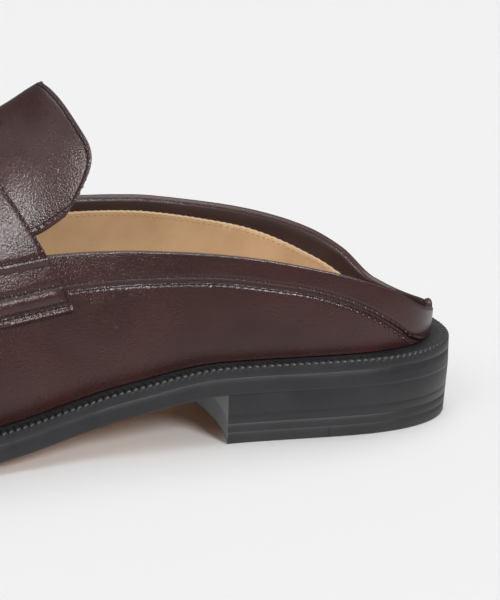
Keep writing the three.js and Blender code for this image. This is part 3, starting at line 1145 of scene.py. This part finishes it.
@dataclass
class Strap:
    """The saddle strap, with its laid-on panel, the box at each end and the folded lower lip."""

    rear: tuple[float, float] = (111.3, 137.2)
    front: tuple[float, float] = (161.0, 175.0)
    bend: float = 1.58
    low: float = 39.7
    slope: float = 0.1
    clear: float = 0.25
    thickness: float = 2.2
    panel: float = 16.4
    box: float = 8.1
    rows: tuple[float, float] = (2.1, 3.3)
    inset: float = 1.2
    steps: int = 60

    def __post_init__(self) -> None:
        """Measures the strap across and along, for the panels and the rows."""
        def walk(places: Sequence[tuple[float, float]]) -> list[float]:
            """Running length in mm along places given as (v, w).

            Args:
                places: the places as (v, w).

            Returns:
                The lengths, from 0.
            """
            total, out, last = 0.0, [0.0], self.point(*places[0], 1.0)
            for v, w in places[1:]:
                here = self.point(v, w, 1.0)
                total += (here - last).length
                last = here
                out.append(total)
            return out

        self.arcs = {
            (side, k): walk([(side * (1 - i / self.steps), k / 2) for i in range(self.steps + 1)])
            for side in (-1, 1) for k in (0, 1, 2)
        }
        self.widths = [walk(column_places(i))[-1] for i in range(TABLE_STEPS + 1)]

    def place_at(self, v: float, w: float) -> tuple[float, int, float]:
        """Share, side and angle at a place of the strap.

        Args:
            v: place across, from -1 to 1.
            w: place along, from 0 at the rear to 1 at the front.

        Returns:
            The three values.
        """
        side = -1 if v < 0 else 1
        reach = abs(v)
        bow = 1 - reach**self.bend
        corner = 0.9 * max(0.0, (reach - 0.965) / 0.035) ** 2
        rear = self.rear[0] + (self.rear[1] - self.rear[0]) * bow + corner
        front = self.front[0] + (self.front[1] - self.front[0]) * bow - corner
        s = rear + (front - rear) * w
        f = LAST.share_of(s)
        low = LAST.angle_at(f, self.low - self.slope * (s - self.rear[0]))
        return f, side, HALF_PI - reach * (HALF_PI - low)

    def point(self, v: float, w: float, level: float) -> Vector:
        """A point of the strap; level 0 is its underside and 1 its top.

        Args:
            v: place across, from -1 to 1.
            w: place along, from 0 at the rear to 1 at the front.
            level: 0 at the underside, 1 at the top.

        Returns:
            The point in mm.
        """
        f, side, angle = self.place_at(v, w)
        lift = self.clear + self.thickness * level
        base = LAST.surface(f, side, angle, LAST.outer.raised(lift))
        return base + base.normalized() * 0.12 * noise.noise(base * 0.07)

    def from_low(self, v: float, w: float) -> float:
        """Distance from the lower edge in mm.

        Args:
            v: place across, from -1 to 1.
            w: place along, from 0 at the rear to 1 at the front.

        Returns:
            The distance in mm.
        """
        side = -1 if v < 0 else 1
        place = (1 - abs(v)) * self.steps
        i = min(int(place), self.steps - 1)
        k = min(int(w * 2), 1)

        def read(row: list[float]) -> float:
            """The running length between two steps."""
            return row[i] + (row[i + 1] - row[i]) * (place - i)

        low, high = read(self.arcs[side, k]), read(self.arcs[side, k + 1])
        return low + (high - low) * (w * 2 - k)

    def across_at(self, distance: float, side: int, w: float) -> float:
        """The v that lies a distance in mm above the lower edge.

        Args:
            distance: distance above the lower edge, in mm.
            side: 1 medial, -1 lateral.
            w: place along, from 0 at the rear to 1 at the front.

        Returns:
            The place across.
        """
        low, high = 0.0, 1.0
        for _ in range(18):
            mid = (low + high) / 2
            if self.from_low(side * mid if mid else side * 1e-9, w) > distance:
                low = mid
            else:
                high = mid
        return side * low

    def width(self, v: float) -> float:
        """Width of the strap in mm."""
        return from_table(self.widths, v)

    def relief(self, v: float, w: float) -> float:
        """Panels and stitch troughs, as a share of the thickness.

        Args:
            v: place across, from -1 to 1.
            w: place along, from 0 at the rear to 1 at the front.

        Returns:
            The added level.
        """
        low = self.from_low(v, w)
        side = min(w, 1 - w) * self.width(v)
        out = 0.5 * smoothstep(low, self.panel - 1.9, self.panel - 1.0) * smoothstep(side, 0.3, 0.9)
        out -= 0.12 * bell(low, self.panel, 0.75) * smoothstep(side, 0.8, 1.6)
        out -= 0.12 * bell(side, self.inset, 0.6) * smoothstep(low, self.panel - 0.6, self.panel + 0.4)
        inner = smoothstep(side, 0.6, 1.4)
        out -= 0.2 * bell(low, self.box, 0.8) * inner
        out -= 0.14 * bell(low, (self.rows[0] + self.rows[1]) / 2, 1.1) * inner
        out -= 0.12 * bell(side, self.inset, 0.6) * (1 - smoothstep(low, self.box - 0.5, self.box + 0.5))
        out += 0.2 * bell(low, 5.7, 1.7) * smoothstep(side, 1.8, 3.6) + 0.25 * bell(low, 0.75, 0.6)
        return out

    def build(self) -> bpy.types.Object:
        """Makes the strap.

        Returns:
            The object.
        """
        across = self.arcs[1, 1][-1] + self.arcs[-1, 1][-1]
        plate = Plate(
            "saddle_strap_ply", across, self.width(0.5), self.point, self.relief, radius=1.0, steps=(370, 108)
        )
        return plate.build((CALF,), ["saddle_strap"], "upper_leather")

    def path(self, places: Sequence[tuple[float, float]]) -> Line:
        """Points and outward directions along places given as (v, w).

        Args:
            places: the places as (v, w).

        Returns:
            The line.
        """
        out = []
        for v, w in places:
            level = 1.03 + self.relief(v, w)
            here = self.point(v, w, level)
            out.append((here, (self.point(v, w, level + 1) - here).normalized()))
        return out

    def level_row(self, side: int, low: float) -> Line:
        """A line across the strap at a distance above the lower edge.

        Args:
            side: 1 medial, -1 lateral.
            low: distance above the lower edge, in mm.

        Returns:
            The line.
        """
        places = []
        for i in range(41):
            edge = self.inset / self.width(0.95)
            w = edge + (1 - 2 * edge) * i / 40
            places.append((self.across_at(low, side, w), w))
        return self.path(places)

    def edge_row(self, side: int, low: float, high: float, front: bool) -> Line:
        """A line along the rear or front edge from one distance above the lower edge to another.

        Args:
            side: 1 medial, -1 lateral.
            low: distance above the lower edge, in mm.
            high: the same for its other end.
            front: whether it is the front edge.

        Returns:
            The line.
        """
        places = []
        for i in range(61):
            distance = low + (high - low) * i / 60
            v = self.across_at(distance, side, 1.0 if front else 0.0)
            w = self.inset / self.width(v)
            places.append((v, 1 - w if front else w))
        return self.path(places)

    def seams(self) -> list[Row]:
        """Every stitch row of the strap.

        Returns:
            The rows.
        """
        rows = []
        levels = ((self.panel, 0.35), (self.box, 0.3), (self.rows[0], -0.5), (self.rows[1], 0.5))
        for side in (-1, 1):
            rows.extend(Row(self.level_row(side, level), pucker=pucker * side) for level, pucker in levels)
            for front in (False, True):
                rows.append(Row(self.edge_row(side, self.rows[1], self.box, front), pucker=None))
                crown = self.arcs[side, 2 if front else 0][-1]
                rows.append(Row(self.edge_row(side, self.panel, crown, front), pucker=0.0))
        return rows


@dataclass
class Tongue:
    """The tongue: two plies, sewn together round the edge."""

    rear: float = 106.8
    reach: float = 8.0
    edge: float = math.radians(35.5)
    corner: float = 13.0
    flare: float = 0.2
    clear: float = 1.0
    plies: tuple[tuple[float, float], ...] = ((1.32, 2.55), (0.0, 1.26))
    margin: float = 1.35
    droop: float = math.radians(3.6)
    cache: dict[int, float] = field(default_factory=dict)

    def __post_init__(self) -> None:
        """Measures the tongue across and along."""
        def walk(places: Sequence[tuple[float, float]]) -> float:
            """Length in mm along places given as (v, w)."""
            points = [self.point(v, w, 2.5) for v, w in places]
            return sum((b - a).length for a, b in zip(points, points[1:]))

        self.half = walk([(-i / 24, 0.15) for i in range(25)])
        self.lengths = [walk(column_places(i)) for i in range(TABLE_STEPS + 1)]

    def length(self, v: float) -> float:
        """Length in mm from the rear edge to the front one."""
        return from_table(self.lengths, v)

    def front(self, v: float) -> float:
        """Distance from the back of the tongue's front edge.

        Args:
            v: place across, from -1 to 1.

        Returns:
            The distance in mm.
        """
        key = round(v * 4000)
        if key not in self.cache:
            angle = HALF_PI - abs(v) * (HALF_PI - self.edge) - self.droop * smoothstep(abs(v), 0.6, 1.0)
            self.cache[key] = LAST.throat_at(angle, -1 if v < 0 else 1) - self.clear
        return self.cache[key]

    def point(self, v: float, w: float, height: float) -> Vector:
        """A point of the tongue; height is in mm above its underside.

        Args:
            v: place across, from -1 to 1.
            w: place along, from 0 at the rear to 1 at the front.
            height: height above its underside, in mm.

        Returns:
            The point in mm.
        """
        side = -1 if v < 0 else 1
        reach = abs(v)
        angle = HALF_PI - reach * (HALF_PI - self.edge)
        rear = self.rear - self.reach * reach**2 + self.corner * max(0.0, (reach - 0.66) / 0.34) ** 2.6
        s = rear + (self.front(v) - rear) * w
        angle -= self.droop * smoothstep(reach, 0.6, 1.0) * smoothstep(s, 103, 120)
        free = 1 - smoothstep(s, 102, 124)
        layer = Layer(LAST.show + 2.4 - height, (2.4 - height) * 1.1, self.flare * free)
        base = LAST.surface(LAST.share_of(s), side, angle, layer)
        wave = 0.5 * noise.noise(base * 0.045 + Vector((2, 5, 9))) + 0.16 * noise.noise(base * 0.12)
        return base + Vector((0.3, 0.35 * side, 0.8)) * wave * free

    def relief(self, v: float, w: float) -> float:
        """The trough of the edge's stitches."""
        away = min((1 - abs(v)) * self.half, w * self.length(v))
        return -0.2 * bell(away, self.margin, 0.45)

    def build(self) -> None:
        """Makes both plies."""
        for i, (low, high) in enumerate(self.plies):
            def point(v: float, w: float, level: float, low: float = low, high: float = high) -> Vector:
                """A point of this ply; level 0 is its underside and 1 its top."""
                return self.point(v, w, low + (high - low) * level)

            relief = self.relief if i == 0 else (lambda v, w: 0.0)
            name = f"tongue_ply_{i + 1}"
            plate = Plate(name, 2 * self.half, self.length(0.5), point, relief, radius=0.6, steps=(110, 70))
            plate.build((CALF,), ["tongue"] if i == 0 else [], "upper_leather")

    def seam(self) -> Line:
        """The stitch row round the free edge.

        Returns:
            The line.
        """
        places = []
        v = 1 - self.margin / self.half
        w = self.margin / self.length(v)
        for i in range(41):
            places.append((-v, 0.75 - (0.75 - w) * i / 40))
        for i in range(1, 120):
            here = -v + 2 * v * i / 120
            places.append((here, self.margin / self.length(here)))
        for i in range(41):
            places.append((v, w + (0.75 - w) * i / 40))
        out = []
        for v, w in places:
            here = self.point(v, w, self.plies[0][1] - 0.12)
            out.append((here, (self.point(v, w, self.plies[0][1] + 1) - here).normalized()))
        return out


@dataclass
class Ring:
    """Columns spaced evenly round the sole's outline."""

    pitch: float = 2.0
    per_tooth: int = 5
    table: list[tuple[float, float, int]] = field(default_factory=list)

    def __post_init__(self) -> None:
        """Measures the outline and lays out the columns."""
        steps = 1500
        points = [(i / steps, 1) for i in range(steps)] + [(1 - i / steps, -1) for i in range(steps)]
        total = 0.0
        last = LAST.rim(0, 1, 0)
        for f, side in points:
            here = LAST.rim(f, side, 0)
            total += (here - last).length
            last = here
            self.table.append((total, f, side))
        self.columns = round(total / self.pitch) * self.per_tooth
        self.places = []
        j = 0
        for k in range(self.columns):
            wanted = total * k / self.columns
            while j < len(self.table) - 2 and self.table[j + 1][0] < wanted:
                j += 1
            (a, fa, side_a), (b, fb, side_b) = self.table[j], self.table[j + 1]
            t = 0.0 if b <= a else min(max((wanted - a) / (b - a), 0.0), 1.0)
            self.places.append((fa + (fb - fa) * t, side_b if t > 0.5 else side_a))

    def tooth(self, k: int) -> float:
        """1 between two teeth and 0 on a tooth."""
        return (0.0, 0.12, 1.0, 0.12, 0.0)[k % self.per_tooth]


@dataclass
class Sole:
    """Welt, outsole and insole as sections swept round the outline."""

    ring: Ring = field(default_factory=Ring)
    tooth_depth: float = 0.6
    tooth_reach: float = 3.3

    def sweep(self, name: str, section: Sequence[tuple[float, float, float]], base: Callable[[float], float],
              finishes: Sequence[Finish], nodes: Sequence[str], slot: str, tan: range = range(0),
              teeth: bool = False) -> bpy.types.Object:
        """Sweeps a closed section round the outline.

        Args:
            name: the object's name.
            section: rows of (inset in mm, height in mm above base, share of the way to the centre line).
            base: height of the section's zero at a distance from the back.
            finishes: materials, the second one for the rows in tan.
            nodes: the CAD nodes that it stands for.
            slot: the name of a material slot.
            tan: rows with the second material; on the welt, its top face in painted shade.
            teeth: whether the top edge is wheeled.

        Returns:
            The object.
        """
        count = self.ring.columns

        def place(k: int, j: int) -> Vector:
            """A point of the section at a column.

            Args:
                k: the column.
                j: the row.

            Returns:
                The point in mm.
            """
            f, side = self.ring.places[k % count]
            inset, height, inward = section[j % len(section)]
            bite = self.ring.tooth(k) if teeth and height > LAST.gap + LAST.welt - 0.4 else 0.0
            fade = 1 - smoothstep(inset, 2.2, self.tooth_reach)
            inset += 0.25 * bite * fade * (inset < 0.5)
            s = LAST.along(f, inset, LAST.length - inset)
            x = LAST.length / 2 - s
            y = side * LAST.half(s, inset) * (1 - inward) + LAST.centre(s)
            wave = 0.05 * math.sin(math.tau * 5 * (k % count) / count) * (inset < 2)
            return Vector((x, y, base(s) + height - self.tooth_depth * bite * fade + wave))

        pick = (lambda k, j: 1 if j in tan else 0) if len(finishes) > 1 else None
        return surface_piece(name, count, len(section), place, finishes, nodes, slot, pick=pick)

    def build(self) -> None:
        """Makes the welt, the outsole and the insole."""
        low = LAST.outsole_top
        high = LAST.gap + LAST.welt
        welt = [
            (0.05, 0.03, 0), (0.03, 0.06, 0), (0.02, 1.0, 0), (0.0, high - 0.75, 0), (0.04, high - 0.3, 0),
            (0.22, high - 0.02, 0), (0.6, high + 0.04, 0), (1.3, high + 0.04, 0), (2.4, high, 0),
            (3.3, high - 0.05, 0), (4.8, high, 0), (9.8, high, 0), (9.8, 0.03, 0),
        ]
        # The welt's top face and inner wall take WELT, the edge's black painted darker as painted shade under the
        # upper's foot.
        self.sweep("welt_wheeled", welt, low, (EDGE, WELT), ["welt"], "black_edge", range(6, 12), teeth=True)
        thick = LAST.outsole
        outsole = [
            (0.4, 0.0, 1), (0.4, 0.0, 0.6), (0.4, 0.0, 0.25), (2.2, 0.0, 0), (1.2, 0.0, 0), (0.16, 0.0, 0),
            (0.09, 0.05, 0), (0.08, 0.8, 0), (0.08, 2.2, 0), (0.05, thick - 0.04, 0), (0.07, thick, 0),
            (3.0, thick, 0), (3.0, thick, 0.5), (3.0, thick, 1),
        ]
        self.sweep(
            "outsole_stitched", outsole, LAST.underside, (EDGE, SOLE), ["outsole"], "sole_leather", range(0, 3)
        )
        inset = LAST.show + LAST.wall + 1.1
        insole = [
            (inset, 0.05, 1), (inset, 0.05, 0.3), (inset, 0.05, 0), (inset, 2.2, 0), (inset + 0.5, 2.6, 0),
            (inset + 2, 2.55, 0), (inset + 2, 2.3, 0.3), (inset + 2, 2.2, 0.65), (inset + 2, 2.2, 1),
        ]
        self.sweep("insole_sock", insole, LAST.welt_top, (LINING,), ["insole"], "lining")


@dataclass
class Heel:
    """The heel block, its lift and the two top pieces."""

    length: float = 70.0
    joint: float = 42.0
    hollow: float = 3.2
    inset: float = 0.08
    taper: float = 1.1
    steps: int = 90

    def outline(self, start: float, end: float, inset: float) -> list[tuple[float, float]]:
        """A heel piece's outline in mm, from the back round to the back.

        Args:
            start: distance from the back where it begins.
            end: distance from the back where it ends.
            inset: distance from the outline, in mm.

        Returns:
            The outline as (x, y).
        """
        first = max(start, inset)
        medial = []
        for i in range(self.steps + 1):
            t = i / self.steps
            s = first + (end - first) * (t if start > 0 else 1 - math.cos(HALF_PI * t))
            medial.append((s, LAST.half(s, inset)))
        points = [(LAST.length / 2 - s, LAST.centre(s) + h) for s, h in medial]
        front = []
        high, low = points[-1][1], 2 * LAST.centre(end) - points[-1][1]
        deep = self.hollow if end >= self.length else 0.0
        for i in range(1, 24):
            q = 2 * i / 24 - 1
            front.append((LAST.length / 2 - end + deep * (1 - q * q), high + (low - high) * i / 24))
        lateral = [(LAST.length / 2 - s, LAST.centre(s) - h) for s, h in reversed(medial)]
        return points + front + lateral

    def piece(self, name: str, start: float, end: float, levels: Sequence[tuple[float, float]], finish: Finish,
              nodes: Sequence[str], slot: str) -> bpy.types.Object:
        """One layer of the heel.

        Args:
            name: the object's name.
            start: distance from the back where it begins.
            end: distance from the back where it ends.
            levels: rows of (height in mm, extra inset in mm).
            finish: its material.
            nodes: the CAD node that it stands for.
            slot: the name of a material slot.

        Returns:
            The object.
        """
        rings = [
            self.outline(start, end, self.inset + self.taper * (1 - z / LAST.heel_height) + extra)
            for z, extra in levels
        ]
        count = len(rings[0])

        def place(k: int, j: int) -> Vector:
            """A point of the ring at a level."""
            x, y = rings[j][k % count]
            return Vector((x, y, levels[j][0]))

        return surface_piece(name, count, len(levels) - 1, place, (finish,), nodes, slot, caps=True)

    def build(self) -> None:
        """Makes the four layers."""
        layer = [(0, 0.3), (0.1, 0.1), (0.35, 0), (3.15, 0), (3.2, 0.03)]
        rear, fore, slot = self.joint - 0.05, self.joint + 0.05, "top_piece"
        self.piece("top_piece_back", 0, rear, layer, RUBBER, ["top_piece_rear"], slot)
        self.piece("top_piece_fore", fore, self.length, layer, RUBBER, ["top_piece_front"], slot)
        lift = [(3.21, 0.03), (3.27, 0.0), (5.68, 0.0), (5.74, 0.05)]
        self.piece("lift", 0, self.length, lift, RUBBER, ["heel_lift"], "black_edge")
        stack = [
            (5.76, 0.05), (5.82, 0.0), (8.2, 0.0), (8.3, 0.03), (8.4, 0.0), (11.0, 0.0), (13.7, 0.0), (13.75, 0.01),
        ]
        self.piece("heel_block", 0, self.length, stack, EDGE, ["heel_stack"], "black_edge")


@dataclass
class Stitching:
    """Rows of stitches, each a short rounded piece of thread sunk into the leather.

    Args:
        runs: the rows.
        reach: half a stitch's length, as a share of the pitch.
        thread: half width and half height of a stitch, and how deep it is sunk, in mm.
        hole: half length, half width, half height and depth of a needle hole's painted shadow, in mm.
        bulge: half length of a pucker as a share of the pitch, and its half width, half height and depth in mm.
    """

    runs: list[Row] = field(default_factory=list)
    reach: float = 0.33
    thread: tuple[float, float, float] = (0.21, 0.2, 0.04)
    hole: tuple[float, float, float, float] = (0.33, 0.36, 0.2, 0.1)
    bulge: tuple[float, float, float, float] = (0.26, 0.62, 0.3, 0.1)

    def spots(self, row: Row) -> list[tuple[Vector, Matrix]]:
        """Places and turns of a row's stitches: x along the row, z out of the leather.

        Args:
            row: the row.

        Returns:
            One place and turn for each stitch.
        """
        out = []
        travelled, wanted = 0.0, row.pitch / 2
        for (a, na), (b, nb) in zip(row.line, row.line[1:]):
            step = (b - a).length
            while step > 1e-6 and wanted <= travelled + step:
                t = (wanted - travelled) / step
                along = (b - a).normalized()
                side = na.lerp(nb, t).cross(along).normalized()
                turn = Matrix((along, side, along.cross(side))).transposed()
                out.append((a.lerp(b, t), turn))
                wanted += row.pitch
            travelled += step
        return out

    def scatter(self, name: str, finish: Finish, shapes: Sequence[tuple[Vector, Matrix, Vector, Vector]],
                segments: tuple[int, int]) -> bpy.types.Object:
        """Makes one piece of many small rounded bodies.

        Args:
            name: the piece's name.
            finish: its material.
            shapes: place, turn, shift in the turned frame and half sizes of each, in mm.
            segments: faces round and from pole to pole.

        Returns:
            The object.
        """
        bm = bmesh.new()
        bmesh.ops.create_uvsphere(bm, u_segments=segments[0], v_segments=segments[1], radius=1.0)
        for face in bm.faces:
            face.smooth = True
        ball = bpy.data.meshes.new(name + "_ball")
        bm.to_mesh(ball)
        bm.clear()
        for at, turn, shift, half in shapes:
            body = ball.copy()
            place = Matrix.Translation((at + turn @ shift) * MM)
            body.transform(place @ turn.to_4x4() @ Matrix.Diagonal((*(half * MM), 1.0)))
            bm.from_mesh(body)
            bpy.data.meshes.remove(body)
        bpy.data.meshes.remove(ball)
        mesh = bpy.data.meshes.new(name)
        bm.to_mesh(mesh)
        bm.free()
        mesh.materials.append(MATERIALS.get(finish))
        piece = bpy.data.objects.new(name, mesh)
        bpy.context.scene.collection.objects.link(piece)
        return settle(piece, [], "upper_leather")

    def build(self) -> None:
        """Makes the threads, the painted shadows of the needle holes at their ends and the leather that puckers
        between them.
        """
        threads, tan, holes, puckers = [], [], [], []
        for row in self.runs:
            for at, turn in self.spots(row):
                reach = row.pitch * self.reach
                kind = tan if row.tan else threads
                wide, thick, sunk = self.thread
                kind.append((at, turn, Vector((0, 0, -sunk)), Vector((reach, wide, thick))))
                if row.tan:
                    continue
                # At each end of a stitch a dark body stands a little proud of the leather: painted shadow of the
                # needle hole.
                for end in (-1, 1):
                    shift = Vector((end * reach, 0, -self.hole[3]))
                    holes.append((at, turn, shift, Vector(self.hole[:3])))
                if row.pucker is not None:
                    share, wide, thick, sunk = self.bulge
                    shift = Vector((row.pitch / 2, row.pucker, -sunk))
                    puckers.append((at, turn, shift, Vector((row.pitch * share, wide, thick))))
        self.scatter("stitch_threads", THREAD, threads, (8, 5))
        self.scatter("lining_threads", TAN_THREAD, tan, (6, 4))
        self.scatter("stitch_hole_painted_shadows", HOLE_SHADOW, holes, (6, 4))
        self.scatter("stitch_puckers", CALF, puckers, (8, 6))
        LOG.info("%d stitches", len(threads) + len(tan))


# The band's rows: where they start, how far above the seam they lie and which way they pucker; then their end.
BAND_ROWS = ((16.0, 0.8, -0.45), (17.5, -1.2, -0.5))
BAND_END = 124.0
# The apron's rows: from, to, distance from the ridge of the seam, pitch and lift.
APRON_START, APRON_END, APRON_AWAY, APRON_PITCH, APRON_LIFT = 162.0, 252.9, 1.55, 3.2, 0.1
# The lining's row: start, length, pitch, distance below the pinked edge.
LINING_START, LINING_RUN, LINING_PITCH, LINING_BELOW = 24.0, 98.0, 1.7, 0.75


def upper_rows(upper: Upper) -> list[Row]:
    """The stitch rows of the collar band and the apron.

    Args:
        upper: the shell that carries them.

    Returns:
        The rows.
    """

    def line(side: int, start: float, end: float, d: float, lift: float) -> Line:
        """A line at d mm above the seam.

        Args:
            side: 1 medial, -1 lateral.
            start: distance from the back where it begins.
            end: distance from the back where it ends.
            d: distance above the seam, in mm.
            lift: extra distance outwards, in mm.

        Returns:
            The line.
        """
        run = []
        for i in range(ROW_STEPS + 1):
            s = start + (end - start) * i / ROW_STEPS
            f = LAST.share_of(s)
            top = LAST.top_angle(f, side)
            seam = LAST.seam_angle(f, side, top)
            rate = LAST.rate(f, side, seam)
            angle = seam + d / rate
            here = upper.outer_point(f, side, angle, d, rate, lift)
            above = upper.outer_point(f, side, angle, d, rate, lift + 1)
            run.append((here, (above - here).normalized()))
        return run

    rows = []
    for side in (-1, 1):
        for start, away, pucker in BAND_ROWS:
            rows.append(Row(line(side, start, BAND_END, away, 0.0), pucker=pucker * side))
    for away in (APRON_AWAY, -APRON_AWAY):
        there, back = (line(side, APRON_START, APRON_END, away, APRON_LIFT) for side in (1, -1))
        rows.append(Row(there + list(reversed(back)), APRON_PITCH, None))
    return rows


def lining_rows(upper: Upper, lining: Lining) -> list[Row]:
    """The stitch row under the lining's pinked edge, on both sides.

    Args:
        upper: the shell round it.
        lining: the lining.

    Returns:
        The rows.
    """
    rows = []
    for side in (-1, 1):
        run = []
        for i in range(ROW_STEPS + 1):
            s = LINING_START + LINING_RUN * i / ROW_STEPS
            f = LAST.share_of(s)
            top = LAST.top_angle(f, side)
            rate = LAST.rate(f, side, top)
            below = upper.facing(s) + lining.bite + LINING_BELOW
            angle = max(top - below / rate, -LEAN + 0.03)
            face = LAST.inner.raised(-lining.glue - lining.thickness)
            here = LAST.surface(f, side, angle, face)
            run.append((here, (LAST.surface(f, side, angle, face.raised(-1)) - here).normalized()))
        rows.append(Row(run, LINING_PITCH, None, True))
    return rows


@dataclass(frozen=True)
class Softbox:
    """One soft light, far off.

    Args:
        name: the light's name.
        way: the direction that it comes from.
        spread: its width in degrees.
        power: its strength.
    """

    name: str
    way: tuple[float, float, float]
    spread: float
    power: float


@dataclass
class Studio:
    """Pale floor, soft lights, walls and the camera at the photograph's angle.

    Args:
        floor: the floor's side in metres.
        lamps: the lights.
        turn: how far the camera is turned from square on, in degrees.
        tilt: how far it looks down, in degrees.
        distance: from the camera to the point that it aims at, in metres.
        aim: that point, in metres.
        lens: focal length in mm.
        shift: the picture's shift across and up.
    """

    floor: float = 9.0
    lamps: tuple[Softbox, ...] = (
        Softbox("softbox_front", (0.24, -0.84, 0.49), 18, 2.4),
        Softbox("softbox_left", (-0.5, -0.5, 0.7), 36, 0.55),
        Softbox("softbox_above", (0.3, 0.2, 0.93), 56, 1.4),
        Softbox("softbox_right", (0.9, -0.1, 0.42), 50, 0.25),
    )
    turn: float = 15.77
    tilt: float = 15.33
    distance: float = 0.8
    aim: tuple[float, float, float] = (0.058, 0.0, 0.025)
    lens: float = 175.8
    shift: tuple[float, float] = (0.0915, 0.0455)

    def lay_floor(self) -> None:
        """Lays the floor, which the gloss doesn't see."""
        bpy.ops.mesh.primitive_plane_add(size=self.floor, location=(0, 0, 0))
        floor = bpy.context.object
        floor.name = "studio_floor"
        floor.data.materials.append(MATERIALS.get(FLOOR))
        floor.visible_glossy = False
        floor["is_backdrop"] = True

    def paint_walls(self) -> None:
        """Makes the world: the wall in front is dark, and the gloss sees a bright floor only from steep angles."""
        world = bpy.data.worlds.new("studio_world")
        world.use_nodes = True
        tree = world.node_tree
        kind, smooth = "ShaderNodeMapRange", "SMOOTHSTEP"
        way = add_node(tree, "ShaderNodeTexCoord").outputs["Generated"]
        near = add_node(tree, "ShaderNodeVectorMath", set_operation="DOT_PRODUCT", i0=way, i1=(0.2, -0.94, 0.28))
        shade = add_node(
            tree, kind, set_interpolation_type=smooth, Value=near.outputs["Value"], From_Min=0.3, From_Max=0.9,
            To_Min=0.2, To_Max=0.06,
        )
        parts = add_node(tree, "ShaderNodeSeparateXYZ", Vector=way)
        below = add_node(
            tree, kind, set_interpolation_type=smooth, Value=parts.outputs["Z"], From_Min=-0.36, From_Max=-0.14,
            To_Min=0.8, To_Max=shade.outputs["Result"],
        )
        tree.links.new(below.outputs["Result"], tree.nodes["Background"].inputs["Strength"])
        tree.nodes["Background"].inputs["Color"].default_value = (1.0, 1.0, 1.0, 1.0)
        bpy.context.scene.world = world

    def hang_lamps(self) -> None:
        """Hangs the lights."""
        for box in self.lamps:
            lamp = bpy.data.lights.new(box.name, "SUN")
            lamp.energy = box.power
            lamp.angle = math.radians(box.spread)
            holder = bpy.data.objects.new(box.name, lamp)
            holder.location = Vector(box.way)
            holder.rotation_euler = (-Vector(box.way)).to_track_quat("-Z", "Y").to_euler()
            bpy.context.scene.collection.objects.link(holder)
            holder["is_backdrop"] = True

    def set_camera(self) -> None:
        """Sets up the camera."""
        turn, tilt = math.radians(self.turn), math.radians(self.tilt)
        ahead = Vector((math.sin(turn) * math.cos(tilt), math.cos(turn) * math.cos(tilt), -math.sin(tilt)))
        lens = bpy.data.cameras.new("camera")
        lens.lens = self.lens
        lens.sensor_width = 36.0
        lens.shift_x, lens.shift_y = self.shift
        lens.clip_start = 0.01
        camera = bpy.data.objects.new("camera", lens)
        camera.location = Vector(self.aim) - ahead * self.distance
        camera.rotation_euler = ahead.to_track_quat("-Z", "Y").to_euler()
        bpy.context.scene.collection.objects.link(camera)
        bpy.context.scene.camera = camera
        bpy.context.scene.view_settings.view_transform = "Standard"

    def build(self) -> None:
        """Sets up the whole studio."""
        self.lay_floor()
        self.paint_walls()
        self.hang_lamps()
        self.set_camera()


def plain(box: object) -> object:
    """Bounds as plain lists of numbers.

    Args:
        box: a number or nested rows of numbers.

    Returns:
        The same as plain lists.
    """
    if isinstance(box, (int, float)):
        return float(box)
    return [plain(value) for value in box]


def main() -> None:
    """Builds the dressed shoe and its studio."""
    logging.basicConfig(level=logging.INFO, format="%(message)s")
    sizes = {"cad": plain(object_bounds())}
    upper = Upper()
    lining = Lining()
    strap = Strap()
    tongue = Tongue()
    upper.build()
    lining.build(upper)
    strap.build()
    tongue.build()
    Sole().build()
    Heel().build()
    runs = upper_rows(upper) + lining_rows(upper, lining) + strap.seams() + [Row(tongue.seam(), pucker=-0.35)]
    Stitching(runs).build()
    Studio().build()
    sizes["visual"] = plain(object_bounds())


if __name__ == "__main__":
    main()
